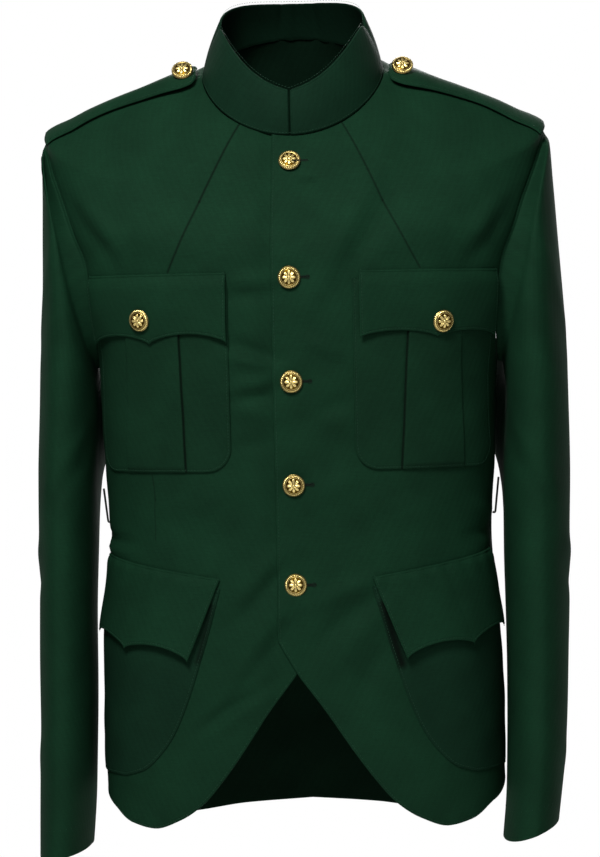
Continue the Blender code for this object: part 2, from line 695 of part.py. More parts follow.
# Gilt buttons: domed face with a rim, on a shank that meets the cloth
BUTTON_PROFILE_COLUMNS = ("radius", "height")
BUTTON_PROFILE = (
    (0.0030, 0.0000), (0.0030, 0.0012), (0.0088, 0.0014), (0.0095, 0.0020), (0.0094, 0.0027),
    (0.0085, 0.0032), (0.0060, 0.0044), (0.0030, 0.0051),
)
BUTTON_TOP = 0.0054
BUTTON_AROUND = 16
FRONT_BUTTON_HEIGHTS = (-0.082, -0.189, -0.284, -0.379, -0.471)
CHEST_BUTTON_AROUND = 0.139
CHEST_BUTTON_HEIGHTS = {"left": -0.2305, "right": -0.2250}
STRAP_BUTTON_SHARE = 0.875


def button(name, seat, normal):
    normal = normal / np.linalg.norm(normal)
    across = np.cross((0.0, 0.0, 1.0), normal)
    across = across / np.linalg.norm(across)
    up = np.cross(normal, across)
    turns = np.linspace(0.0, 2.0 * np.pi, BUTTON_AROUND, endpoint=False)
    points = [seat]
    for radius, height in BUTTON_PROFILE:
        for turn in turns:
            points.append(seat + normal * height + (across * np.cos(turn) + up * np.sin(turn)) * radius)
    points.append(seat + normal * BUTTON_TOP)
    faces = []
    last = len(points) - 1
    for place in range(BUTTON_AROUND):
        following = (place + 1) % BUTTON_AROUND
        faces.append((0, 1 + following, 1 + place))
        for ring in range(len(BUTTON_PROFILE) - 1):
            low = 1 + ring * BUTTON_AROUND
            high = low + BUTTON_AROUND
            faces.append((low + place, low + following, high + following, high + place))
        top = 1 + (len(BUTTON_PROFILE) - 1) * BUTTON_AROUND
        faces.append((top + place, top + following, last))
    add_solid(name, points, faces, BRASS)


for number, height in enumerate(FRONT_BUTTON_HEIGHTS, start=1):
    level_guess = height
    for attempt in range(12):
        found = body_points(travel_at_level(level_guess), (0.0,), 1.0, "front")[0]
        level_guess += height - found[2]
    travel = travel_at_level(level_guess)
    normal = body_normal(travel, 0.0015, 1.0, "front") * np.array((0.0, 1.0, 1.0))
    spot = body_points(travel, (0.0,), 1.0, "front")[0]
    button("button_front_" + str(number), spot + normal * SEAM_GAP, normal)

for word, sign in (("left", 1.0), ("right", -1.0)):
    around = CHEST_BUTTON_AROUND
    travel = travel_at_level(CHEST_BUTTON_HEIGHTS[word])
    normal = body_normal(travel, around, sign, "front")
    lift = FLAP_BASE + FLAP_CLOTH + SEAM_GAP
    button("button_chest_" + word, body_points(travel, (around,), sign, "front")[0] + normal * lift, normal)
    tip = travel_at_level(SHOULDER_TIP)
    travel = tip + (NECK_TRAVEL - tip) * STRAP_BUTTON_SHARE
    spot = shoulder_spot(travel, sign, -0.002, PATCH_BASE + STRAP_CLOTH + SEAM_GAP)
    normal = spot - shoulder_spot(travel, sign, -0.002, 0.0)
    button("button_strap_" + word, spot, normal)

# Wire hooks that carry a belt: each comes out of a side seam, bends up and ends free
HOOK_COLUMNS = ("top", "top_stands", "foot")
HOOKS = {"left": (-0.380, 0.0070, -0.4130), "right": (-0.385, 0.0070, -0.4165)}
HOOK_RADIUS = 0.0008
HOOK_GAP = 0.0007
HOOK_BEND_COLUMNS = ("stands", "rise")
HOOK_BEND = ((0.0000, 0.0002), (0.0007, -0.0004), (0.0014, -0.0006), (0.0021, -0.0002), (0.0026, 0.0008))
HOOK_STEPS = 6
HOOK_SIDES = 8


def belt_hook(name, side, side_name):
    top, top_stands, foot = HOOKS[side_name]
    skin = ring_sizes(travel_at_level(foot))["half_width"] + HOOK_GAP
    bend = [np.array((skin + stands, 0.0, foot + rise)) for stands, rise in HOOK_BEND]
    end = np.array((skin + top_stands, 0.0, top))
    path = bend + [bend[-1] + (end - bend[-1]) * part for part in np.linspace(0.0, 1.0, HOOK_STEPS + 1)[1:]]
    path = np.array(path) * np.array((side, 1.0, 1.0))
    ways = np.gradient(path, axis=0)
    ways[0] = np.array((side, 0.0, 0.0))
    turns = np.linspace(0.0, 2.0 * np.pi, HOOK_SIDES, endpoint=False)
    points = []
    for middle, way in zip(path, ways):
        way = way / np.linalg.norm(way)
        level_way = np.array((0.0, 1.0, 0.0))
        other = np.cross(way, level_way)
        for turn in turns:
            points.append(middle + (level_way * np.cos(turn) + other * np.sin(turn)) * HOOK_RADIUS)
    faces = [tuple(range(HOOK_SIDES)), tuple(len(points) - 1 - place for place in range(HOOK_SIDES))]
    for ring in range(len(path) - 1):
        for place in range(HOOK_SIDES):
            following = (place + 1) % HOOK_SIDES
            low = ring * HOOK_SIDES
            high = low + HOOK_SIDES
            faces.append((low + place, low + following, high + following, high + place))
    add_solid(name, points, faces, WIRE)


belt_hook("belt_hook_left", 1.0, "left")
belt_hook("belt_hook_right", -1.0, "right")
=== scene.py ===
# A dark green military tunic, shown as worn with nobody in it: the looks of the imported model.
# Units are metres, the front faces -Y, +X is the wearer's left and +Z is up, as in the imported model.
import math

import bmesh
import bpy
import numpy as np
from mathutils import Matrix, Vector
from mathutils.kdtree import KDTree


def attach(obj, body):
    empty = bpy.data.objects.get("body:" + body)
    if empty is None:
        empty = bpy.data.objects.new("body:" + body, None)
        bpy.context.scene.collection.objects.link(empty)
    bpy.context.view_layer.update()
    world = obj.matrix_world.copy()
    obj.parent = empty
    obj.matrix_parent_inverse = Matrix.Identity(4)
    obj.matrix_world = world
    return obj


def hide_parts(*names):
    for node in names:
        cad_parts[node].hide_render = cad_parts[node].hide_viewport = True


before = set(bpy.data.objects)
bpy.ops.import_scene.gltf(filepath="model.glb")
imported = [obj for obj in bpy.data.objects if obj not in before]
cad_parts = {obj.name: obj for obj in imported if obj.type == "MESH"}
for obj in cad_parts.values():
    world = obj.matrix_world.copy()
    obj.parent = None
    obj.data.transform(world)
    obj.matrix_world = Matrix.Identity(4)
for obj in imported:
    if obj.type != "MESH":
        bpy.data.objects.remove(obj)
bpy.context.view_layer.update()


# Studio: a pale floor far below the tunic, broad soft lamps before and behind it and a white surround, as for a
# catalogue picture. The camera stands a little to the wearer's left and a little above, as it did for the photo.
CAMERA_DISTANCE = 3.2
CAMERA_TURN = 3.0
CAMERA_RISE = 2.5
CAMERA_ROLL = 1.08
TUNIC_MIDDLE = Vector((0.0, 0.0, -0.37))
CAMERA_AIM = Vector((0.0005, 0.0, -0.331))
PIXELS_PER_METRE = 1.0 / 0.00095
PHOTO_WIDTH = 600
FLOOR_HEIGHT = -1.45


def linear(code):
    """Colour sockets take linear light, so a six-figure sRGB code is turned here."""
    parts = [int(code[place:place + 2], 16) / 255.0 for place in (0, 2, 4)]
    turned = [part / 12.92 if part <= 0.04045 else ((part + 0.055) / 1.055) ** 2.4 for part in parts]
    return (*turned, 1.0)


def add_node(tree, kind, settings=None, **links):
    """One node with its settings; a link is given as input_name=(other node, output name) or as a value."""
    node = tree.nodes.new(kind)
    for key, value in (settings or {}).items():
        setattr(node, key, value)
    for key, value in links.items():
        place = int(key[1:]) if key[0] == "n" and key[1:].isdigit() else key.replace("_", " ")
        socket = node.inputs[place]
        if isinstance(value, tuple) and len(value) == 2 and hasattr(value[0], "outputs"):
            tree.links.new(value[0].outputs[value[1]], socket)
        else:
            socket.default_value = value
    return node


def aimed(thing, place, target, roll=0.0):
    thing.location = place
    turn = (target - place).to_track_quat("-Z", "Y")
    thing.rotation_mode = "QUATERNION"
    thing.rotation_quaternion = turn @ Matrix.Rotation(math.radians(roll), 3, "Z").to_quaternion()
    bpy.context.scene.collection.objects.link(thing)


def shader_of(name, rough):
    """A new material of a given roughness, with its tree of nodes and its shader."""
    made = bpy.data.materials.new(name)
    made.use_nodes = True
    shader = made.node_tree.nodes["Principled BSDF"]
    shader.inputs["Roughness"].default_value = rough
    return made, made.node_tree, shader


def placed(name, data):
    """An object that stands at the origin, neither turned nor scaled."""
    made = bpy.data.objects.new(name, data)
    bpy.context.scene.collection.objects.link(made)
    return made


side_step = CAMERA_DISTANCE * math.cos(math.radians(CAMERA_RISE))
camera_place = TUNIC_MIDDLE + Vector((
    side_step * math.sin(math.radians(CAMERA_TURN)),
    -side_step * math.cos(math.radians(CAMERA_TURN)),
    CAMERA_DISTANCE * math.sin(math.radians(CAMERA_RISE)),
))
lens = bpy.data.cameras.new("photo_camera")
lens.sensor_fit = "HORIZONTAL"
lens.sensor_width = 36.0
lens.lens = CAMERA_DISTANCE * PIXELS_PER_METRE / PHOTO_WIDTH * lens.sensor_width
camera = bpy.data.objects.new("photo_camera", lens)
aimed(camera, camera_place, CAMERA_AIM, -CAMERA_ROLL)
bpy.context.scene.camera = camera
bpy.context.scene.view_settings.view_transform = "Standard"

# Name, place, size in metres and watts of each lamp
LAMPS = (
    ("key_lamp", (-0.45, -1.7, 1.35), 0.8, 55.0),
    ("fill_lamp", (0.6, -2.9, 0.9), 1.4, 12.0),
    ("floor_lamp", (0.0, -1.3, -1.35), 0.8, 2.5),
    ("rear_lamp", (0.3, 2.4, 1.0), 1.6, 95.0),
    ("left_side_lamp", (2.2, 2.1, 0.7), 1.2, 12.0),
    ("right_side_lamp", (-2.2, 2.1, 0.7), 1.2, 12.0),
)
for name, place, size, watts in LAMPS:
    lamp = bpy.data.lights.new(name, "AREA")
    lamp.shape = "DISK"
    lamp.size = size
    lamp.energy = watts
    stand = bpy.data.objects.new(name, lamp)
    stand.visible_camera = False
    aimed(stand, Vector(place), TUNIC_MIDDLE)

surround = bpy.data.worlds.new("white_surround")
surround.use_nodes = True
tree = surround.node_tree
tree.nodes.clear()
# The picture sees the surround white, the gilt mirrors it dimly, and the cloth hardly feels it
seen = add_node(tree, "ShaderNodeBackground", Color=(1.0, 1.0, 1.0, 1.0), Strength=1.0)
mirrored = add_node(tree, "ShaderNodeBackground", Color=(1.0, 1.0, 1.0, 1.0), Strength=0.35)
felt = add_node(tree, "ShaderNodeBackground", Color=(0.93, 0.96, 1.0, 1.0), Strength=0.03)
ray = add_node(tree, "ShaderNodeLightPath")
lit = add_node(tree, "ShaderNodeMixShader", None, n0=(ray, "Is Glossy Ray"), n1=(felt, 0), n2=(mirrored, 0))
pick = add_node(tree, "ShaderNodeMixShader", None, n0=(ray, "Is Camera Ray"), n1=(lit, 0), n2=(seen, 0))
add_node(tree, "ShaderNodeOutputWorld", Surface=(pick, 0))
bpy.context.scene.world = surround

paint, tree, shader = shader_of("matt white studio paint", 0.9)
shader.inputs["Base Color"].default_value = linear("F2F2F0")
floor_shape = bmesh.new()
bmesh.ops.create_circle(floor_shape, cap_ends=True, segments=64, radius=2.6,
                        matrix=Matrix.Translation((0.0, 0.0, FLOOR_HEIGHT)))
floor_mesh = bpy.data.meshes.new("studio_floor")
floor_shape.to_mesh(floor_mesh)
floor_shape.free()
floor_mesh.materials.append(paint)
placed("studio_floor", floor_mesh)


# Fronts: two cut panels of dark green worsted gabardine. The wearer's left one laps over the right one at the
# centre, and both are cut away below the last button. Edges are turned in and edge-stitched 2 mm from the fold.
CLOTH_WALL = 0.0020
VISIBLE_SEAM = 0.0001
OUTER_LAP = 0.0172
INNER_LAP = 0.0230
STEP_RUN = 0.0150
STEP_DEPTH = 0.0027
STEP_CLEAR = 0.0006
FRONT_CUT = 0.069
BACK_CUT = 0.062
TILT_POWER = 1.2
ARMPIT = -0.270
SHOULDER_TIP = -0.051
WAIST = -0.430
SKIRT_LENGTH = 0.24
PANEL_WIDTH = 0.25
CLOTH_STEP = 0.0042
ARMHOLE_POINTS = 61
# Folds die out over this distance before a seam
SEAM_FADE = 0.012
STITCH_INSET = 0.0022
STITCH_PATH_STEP = 0.0006
SIDES = (("left", 1.0), ("right", -1.0))
BODY_COLUMNS = ("level", "half_width", "front", "front_level", "back", "back_level", "square")
BODY_RINGS = np.array((
    (-0.780, 0.1890, 0.1180, -0.780, 0.1250, -0.780, 2.50),
    (-0.640, 0.1890, 0.1200, -0.640, 0.1250, -0.640, 2.50),
    (-0.540, 0.1880, 0.1180, -0.540, 0.1150, -0.540, 2.50),
    (-0.430, 0.1805, 0.1120, -0.430, 0.0980, -0.430, 2.50),
    (-0.350, 0.1850, 0.1200, -0.350, 0.1040, -0.350, 2.50),
    (-0.270, 0.1880, 0.1270, -0.270, 0.1140, -0.270, 2.50),
    (-0.210, 0.2008, 0.1300, -0.210, 0.1190, -0.205, 2.60),
    (-0.170, 0.2090, 0.1300, -0.172, 0.1210, -0.160, 2.60),
    (-0.135, 0.2205, 0.1270, -0.152, 0.1220, -0.125, 2.60),
    (-0.100, 0.2275, 0.1190, -0.137, 0.1200, -0.092, 2.50),
    (-0.065, 0.2335, 0.1110, -0.123, 0.1140, -0.060, 2.28),
    (-0.051, 0.2350, 0.1060, -0.113, 0.1090, -0.047, 2.22),
    (-0.036, 0.2080, 0.0975, -0.101, 0.1010, -0.030, 2.24),
    (-0.014, 0.1550, 0.0870, -0.082, 0.0890, -0.003, 2.15),
    (0.001, 0.1080, 0.0775, -0.065, 0.0770, 0.028, 2.05),
    (0.005, 0.0860, 0.0720, -0.057, 0.0700, 0.044, 2.00),
))
# Share of the way round from the centre line, and the hem's height there
HEM_FRONT = np.array((
    (0.00, -0.554), (0.10, -0.588), (0.19, -0.622), (0.27, -0.650), (0.35, -0.673),
    (0.44, -0.688), (0.55, -0.697), (0.66, -0.693), (0.76, -0.682), (1.00, -0.662),
))
HEM_BACK = np.array(((0.00, -0.700), (0.25, -0.704), (0.50, -0.710), (0.75, -0.698), (1.00, -0.662)))
OVERLAP_RISE = 1.70


def smooth_curve(known, values, wanted):
    """Smooth curve through known values that never overshoots between two of them."""
    steps = np.diff(known)
    slopes = np.diff(values) / steps
    tangents = np.zeros(len(known))
    tangents[0] = slopes[0]
    tangents[-1] = slopes[-1]
    for index in range(1, len(known) - 1):
        before, after = slopes[index - 1], slopes[index]
        if before * after > 0.0:
            first = 2.0 * steps[index] + steps[index - 1]
            second = steps[index] + 2.0 * steps[index - 1]
            tangents[index] = (first + second) / (first / before + second / after)
    wanted = np.clip(np.asarray(wanted, dtype=float), known[0], known[-1])
    place = np.clip(np.searchsorted(known, wanted) - 1, 0, len(steps) - 1)
    part = (wanted - known[place]) / steps[place]
    start = values[place] * (1.0 + 2.0 * part) * (1.0 - part) ** 2
    end = values[place + 1] * part ** 2 * (3.0 - 2.0 * part)
    leave = tangents[place] * steps[place] * part * (1.0 - part) ** 2
    arrive = tangents[place + 1] * steps[place] * part ** 2 * (part - 1.0)
    return start + end + leave + arrive


RING_TRAVEL = np.concatenate(([0.0], np.cumsum(np.hypot(np.diff(BODY_RINGS[:, 0]), np.diff(BODY_RINGS[:, 1])))))
NECK_TRAVEL = RING_TRAVEL[-1]
FORM_TRAVELS = np.linspace(0.0, NECK_TRAVEL, 500)
FORM_SHARES = 260


def unit(vectors):
    return vectors / np.maximum(np.linalg.norm(vectors, axis=-1, keepdims=True), 1e-12)


def reach_along(line, axis=0):
    """Distance of each point from the first one along a line, or along the rows of a grid."""
    legs = np.linalg.norm(np.diff(line, axis=axis), axis=-1)
    return np.insert(np.cumsum(legs, axis=axis), 0, 0.0, axis=axis)


def along_line(values, reach, wanted):
    """Points or directions at wanted distances along a line."""
    return np.stack([np.interp(wanted, reach, values[:, axis]) for axis in range(3)], axis=1)


def form_table(facing):
    """The worn body form as a table: evenly spaced points from the centre line to the side, ring by ring."""
    size = {name: smooth_curve(RING_TRAVEL, BODY_RINGS[:, place], FORM_TRAVELS)[:, None]
            for place, name in enumerate(BODY_COLUMNS)}
    turn = np.linspace(0.0, math.pi / 2.0, 400)[None, :]
    power = 2.0 / size["square"]
    across = size["half_width"] * np.abs(np.sin(turn)) ** power
    out = np.abs(np.cos(turn)) ** power
    out[:, -1] = 0.0
    sign = -1.0 if facing == "front" else 1.0
    depth = size[facing] * out * sign
    height = size["level"] + (size[facing + "_level"] - size["level"]) * out ** TILT_POWER
    raw = np.stack((across, depth, height), axis=2)
    reach = reach_along(raw, 1)
    points = np.array([along_line(line, known, np.linspace(0.0, known[-1], FORM_SHARES))
                       for line, known in zip(raw, reach)])
    normals = unit(np.cross(np.gradient(points, axis=1), np.gradient(points, axis=0)))
    if facing == "back":
        normals = -normals
    normals[:, 0, 0] = 0.0
    normals[:, -1, 1] = 0.0
    return {"points": points, "normals": unit(normals), "lengths": reach[:, -1]}


FORM = {"front": form_table("front"), "back": form_table("back")}


def travel_at_level(level):
    return np.interp(level, BODY_RINGS[:, 0], RING_TRAVEL)


def ring_length(facing, travel):
    return np.interp(travel, FORM_TRAVELS, FORM[facing]["lengths"])


def on_body(facing, side, travel, around):
    """Points and outward directions at travels up the body and distances round it from the centre line."""
    travel = np.asarray(travel, dtype=float)
    around = np.asarray(around, dtype=float)
    row = np.clip(travel / NECK_TRAVEL, 0.0, 1.0) * (len(FORM_TRAVELS) - 1)
    share = np.clip(np.abs(around) / ring_length(facing, travel), 0.0, 1.0) * (FORM_SHARES - 1)
    low_row = np.minimum(row.astype(int), len(FORM_TRAVELS) - 2)
    low_share = np.minimum(share.astype(int), FORM_SHARES - 2)
    row_part = (row - low_row)[..., None]
    share_part = (share - low_share)[..., None]
    mirrored = side * np.where(around < 0.0, -1.0, 1.0)
    found = []
    for table in (FORM[facing]["points"], FORM[facing]["normals"]):
        low = table[low_row, low_share] * (1.0 - share_part) + table[low_row, low_share + 1] * share_part
        high = table[low_row + 1, low_share] * (1.0 - share_part) + table[low_row + 1, low_share + 1] * share_part
        value = low * (1.0 - row_part) + high * row_part
        value[..., 0] *= mirrored
        found.append(value)
    return found[0], unit(found[1])


def hem_height(share, facing):
    table = HEM_FRONT if facing == "front" else HEM_BACK
    height = smooth_curve(table[:, 0], table[:, 1], np.clip(share, 0.0, 1.0))
    lapped = np.minimum(share, 0.0) * ring_length(facing, travel_at_level(-0.55))
    return height - lapped * OVERLAP_RISE


# Distances from a turned or sewn edge at which the mesh has a line, so the fold and the stitch valley are real
EDGE_LINES = np.array((0.0, 0.0003, 0.0007, 0.0012, 0.0017, 0.0022, 0.0027, 0.0034, 0.0048, 0.0070, 0.0100))


def spaced(length, step, first_edge=True, last_edge=True):
    """Shares from nothing to one over a length, close together at the edges and a step apart between."""
    start = EDGE_LINES / length if first_edge else np.array((0.0,))
    end = 1.0 - EDGE_LINES[::-1] / length if last_edge else np.array((1.0,))
    count = max(2, int(round((end[0] - start[-1]) * length / step)))
    middle = np.linspace(start[-1], end[0], count + 1)[1:-1]
    return np.concatenate((start, middle, end))


def armhole_share(level):
    middle = (ARMPIT + SHOULDER_TIP) / 2.0
    half = (SHOULDER_TIP - ARMPIT) / 2.0
    return np.sqrt(np.maximum(0.0, 1.0 - np.clip((level - middle) / half, -1.0, 1.0) ** 2))


def panel_grid(facing, start):
    """Travels and distances of a body panel's points from its hem up, and its first and last armhole rows."""
    skirt = spaced(SKIRT_LENGTH, CLOTH_STEP, True, False)[:-1]
    chest = np.linspace(WAIST, ARMPIT, int((ARMPIT - WAIST) / CLOTH_STEP) + 1)[:-1]
    turn = np.linspace(-math.pi / 2.0, math.pi / 2.0, ARMHOLE_POINTS)
    middle = (ARMPIT + SHOULDER_TIP) / 2.0
    armhole = middle + (SHOULDER_TIP - ARMPIT) / 2.0 * np.sin(turn)
    tip = travel_at_level(SHOULDER_TIP)
    yoke = tip + (NECK_TRAVEL - tip) * spaced(NECK_TRAVEL - tip, CLOTH_STEP, False, True)[1:]
    upper = np.concatenate((travel_at_level(chest), travel_at_level(armhole), yoke))
    columns = spaced(PANEL_WIDTH, CLOTH_STEP)
    waist_length = ring_length(facing, travel_at_level(WAIST))
    shares = (start + columns * (waist_length - VISIBLE_SEAM / 2.0 - start)) / waist_length
    hems = hem_height(shares, facing)
    heights = hems[None, :] + (WAIST - hems)[None, :] * skirt[:, None]
    low_travel = travel_at_level(heights)
    travel = np.concatenate((low_travel, np.repeat(upper[:, None], len(columns), axis=1)))
    level = np.interp(travel, RING_TRAVEL, BODY_RINGS[:, 0])
    cut = FRONT_CUT if facing == "front" else BACK_CUT
    end = ring_length(facing, travel) - VISIBLE_SEAM / 2.0 - cut * armhole_share(level)
    around = start + columns[None, :] * (end - start)
    armhole_first = len(skirt) + len(chest)
    return travel, around, armhole_first, armhole_first + ARMHOLE_POINTS - 1


# Soft folds on the fronts. Around is signed, plus towards the wearer's left; rise is out (+) or in (-).
# Each row is from_around, from_height, to_around, to_height, width, rise; all rises are scaled by the depth
FOLD_DEPTH = 2.8
FRONT_FOLDS = (
    (-0.056, -0.194, -0.014, -0.191, 0.0060, 0.0014), (-0.056, -0.206, -0.014, -0.203, 0.0060, -0.0010),
    (-0.058, -0.246, -0.014, -0.262, 0.0065, -0.0013), (-0.056, -0.262, -0.014, -0.272, 0.0060, 0.0012),
    (-0.054, -0.290, -0.014, -0.280, 0.0060, 0.0014), (-0.054, -0.301, -0.014, -0.294, 0.0055, -0.0012),
    (-0.052, -0.308, -0.016, -0.316, 0.0070, 0.0010), (-0.056, -0.345, -0.018, -0.336, 0.0080, -0.0008),
    (0.002, -0.478, -0.090, -0.600, 0.0150, 0.0020), (0.000, -0.500, -0.075, -0.590, 0.0090, -0.0014),
    (-0.032, -0.566, -0.092, -0.603, 0.0060, -0.0014), (-0.030, -0.574, -0.088, -0.612, 0.0070, 0.0012),
    (-0.010, -0.440, -0.060, -0.490, 0.0100, 0.0012), (-0.012, -0.455, -0.055, -0.505, 0.0070, -0.0010),
    (0.073, -0.466, 0.012, -0.492, 0.0080, 0.0015), (0.076, -0.480, 0.010, -0.530, 0.0090, -0.0014),
    (0.080, -0.494, 0.022, -0.556, 0.0100, 0.0014), (0.086, -0.520, 0.045, -0.590, 0.0100, -0.0010),
    (0.085, -0.085, 0.020, -0.207, 0.0130, 0.0014), (0.100, -0.110, 0.045, -0.190, 0.0120, -0.0010),
    (0.050, -0.262, 0.012, -0.246, 0.0070, 0.0010), (0.054, -0.300, 0.016, -0.318, 0.0080, -0.0010),
    (0.052, -0.330, 0.014, -0.306, 0.0090, 0.0011), (0.060, -0.372, 0.016, -0.396, 0.0110, 0.0009),
    (-0.205, -0.110, -0.160, -0.160, 0.0090, 0.0012), (-0.212, -0.126, -0.168, -0.176, 0.0080, -0.0010),
    (0.205, -0.115, 0.165, -0.160, 0.0090, 0.0010), (0.212, -0.132, 0.172, -0.176, 0.0080, -0.0008),
    (-0.235, -0.428, -0.165, -0.433, 0.0050, -0.0012), (-0.236, -0.437, -0.160, -0.442, 0.0045, 0.0010),
    (0.236, -0.424, 0.170, -0.430, 0.0055, -0.0010), (0.234, -0.410, 0.180, -0.404, 0.0060, 0.0008),
    (-0.060, -0.385, -0.140, -0.405, 0.0120, 0.0010), (0.055, -0.395, 0.150, -0.408, 0.0130, 0.0009),
)


def bell(distance, width):
    return np.exp(-(distance / width) ** 2)


def beside_fold(around, height, start, end):
    """For each place: its share of the way along a fold, its distance off the line and beyond the fold's ends."""
    way = np.array((end[0] - start[0], end[1] - start[1]))
    length = np.linalg.norm(way)
    way = way / length
    east, north = around - start[0], height - start[1]
    part = (east * way[0] + north * way[1]) / length
    return part, east * -way[1] + north * way[0], np.maximum(0.0, np.maximum(-part, part - 1.0)) * length


def folds(table, around, height):
    """Height of the soft folds above the smooth form, each a little wavy and flatter at its ends."""
    total = np.zeros(np.broadcast(around, height).shape)
    for from_around, from_height, to_around, to_height, width, rise in table:
        part, off, beyond = beside_fold(around, height, (from_around, from_height), (to_around, to_height))
        off = off + 0.10 * width * np.sin(part * 7.0 + from_around * 60.0)
        taper = bell(beyond, width * 1.6) * (0.35 + 0.65 * np.sin(math.pi * np.clip(part, 0.0, 1.0)))
        total = total + rise * taper * bell(off, width)
    # Worn cloth is never flat: waves about 15 cm and 7 cm long, less than a millimetre high
    long_waves = 0.00070 * np.sin(around * 41.0 + height * 23.0 + 1.3) * np.sin(height * 37.0 - around * 19.0)
    short_waves = 0.00035 * np.sin(around * 97.0 - height * 61.0) * np.sin(height * 83.0 + 0.7)
    return FOLD_DEPTH * total + long_waves + short_waves


def search_tree(points):
    tree = KDTree(len(points))
    for index, point in enumerate(points):
        tree.insert(point, index)
    tree.balance()
    return tree


def distance_to(points, line):
    """Distance of each point of a grid from a line of points, with the line filled in every 0.4 mm."""
    reach = reach_along(line)
    tree = search_tree(along_line(line, reach, np.arange(0.0, reach[-1], 0.0004)))
    return np.array([tree.find(point)[2] for point in points.reshape(-1, 3)]).reshape(points.shape[:-1])


def border(points, which):
    return {"low": points[0], "high": points[-1], "first": points[:, 0], "last": points[:, -1]}[which]


def edge_fade(distance):
    """One at the very edge, nothing from about a millimetre in."""
    return np.exp(-(distance / 0.0005) ** 1.5)


def edge_height(distance, kind, wall):
    """Profile of the cloth near an edge: a rolled fold with a stitch valley, or the dip of a pressed seam."""
    if kind == "seam":
        pressed_down, turnings = -0.0008 * bell(distance, 0.0010), 0.00018 * bell(distance - 0.006, 0.005)
        return pressed_down + turnings
    roll = -0.42 * wall * edge_fade(distance)
    valley = -0.00030 * bell(distance - STITCH_INSET, 0.00055)
    plump = 0.00010 * bell(distance - 0.0012, 0.0007)
    return roll + (valley + plump if kind == "turned" else 0.0)


def grid_normals(points, wrap=False):
    if wrap:
        across = np.roll(points, -1, axis=1) - np.roll(points, 1, axis=1)
    else:
        across = np.gradient(points, axis=1)
    return unit(np.cross(across, np.gradient(points, axis=0)))


def turned_towards(ways, wanted):
    """The same directions, or all of them turned round where they face away from those wanted."""
    return -ways if (ways * wanted).sum() < 0.0 else ways


def ribbon(low, high, turn):
    """Quads between two lines of vertices."""
    return np.stack((low[:-1], high[:-1], high[1:], low[1:]), axis=-1)[:, ::turn]


# The outer face of each finished piece of cloth and its directions, kept for the stitches
cloth_faces = {}


def cloth_wall(name, points, outward, wall, spread, edges, wrap=False, inner=None, wall_way=None):
    """Closed wall of cloth: outer face, inner face and edges. Spread holds the flat cut's places, for the weave."""
    shape = turned_towards(grid_normals(points, wrap), outward)
    face = points.copy()
    inside = points - (shape if wall_way is None else wall_way) * wall if inner is None else inner
    for which, kind in edges.items():
        distance = distance_to(points, border(points, which))
        face = face + shape * edge_height(distance, kind, wall)[..., None]
        if kind != "seam":
            inside = inside + shape * (0.40 * wall * edge_fade(distance))[..., None]
    rows, columns = points.shape[:2]
    count = rows * columns
    index = np.arange(count).reshape(rows, columns)
    if wrap:
        index = np.concatenate((index, index[:, :1]), axis=1)
    places = np.arange(rows * index.shape[1]).reshape(index.shape)
    faces, corners = [], []
    for grid, found, shift in ((index, faces, count), (places, corners, 0)):
        quads = np.stack((grid[:-1, :-1], grid[:-1, 1:], grid[1:, 1:], grid[1:, :-1]), axis=-1).reshape(-1, 4)
        found += [quads, quads[:, ::-1] + shift]
        found += [ribbon(grid[0], grid[0] + shift, 1), ribbon(grid[-1], grid[-1] + shift, -1)]
        if not wrap:
            found += [ribbon(grid[:, 0], grid[:, 0] + shift, -1), ribbon(grid[:, -1], grid[:, -1] + shift, 1)]
    faces = np.concatenate(faces)
    corners = np.concatenate(corners)
    dots = np.concatenate((face.reshape(-1, 3), inside.reshape(-1, 3)))
    face_count = (rows - 1) * (columns if wrap else columns - 1)
    middle = faces[face_count // 2]
    square = np.cross(dots[middle[1]] - dots[middle[0]], dots[middle[2]] - dots[middle[0]])
    if square @ shape.reshape(-1, 3)[middle[0]] < 0.0:
        faces = faces[:, ::-1]
        corners = corners[:, ::-1]
    mesh = bpy.data.meshes.new(name)
    mesh.from_pydata(dots.tolist(), [], faces.tolist())
    cut = mesh.uv_layers.new(name="cut")
    cut.data.foreach_set("uv", spread.reshape(-1, 2)[corners.ravel()].astype(np.float32).ravel())
    mesh.polygons.foreach_set("use_smooth", np.ones(len(faces), dtype=bool))
    # Inner faces take a darker material: painted shade for the dim inside of the tunic
    reverse = np.zeros(len(faces), dtype=np.int32)
    reverse[face_count:2 * face_count] = 1
    mesh.materials.append(GREEN)
    mesh.materials.append(PAINTED_SHADE_INSIDE)
    mesh.polygons.foreach_set("material_index", reverse)
    mesh.update()
    cloth_faces[name] = (face, shape)
    return placed(name, mesh)


TWILL_STEEPNESS = 62.0
TWILL_SCALE = 50.0
BASE_GREEN = "0F2E1D"


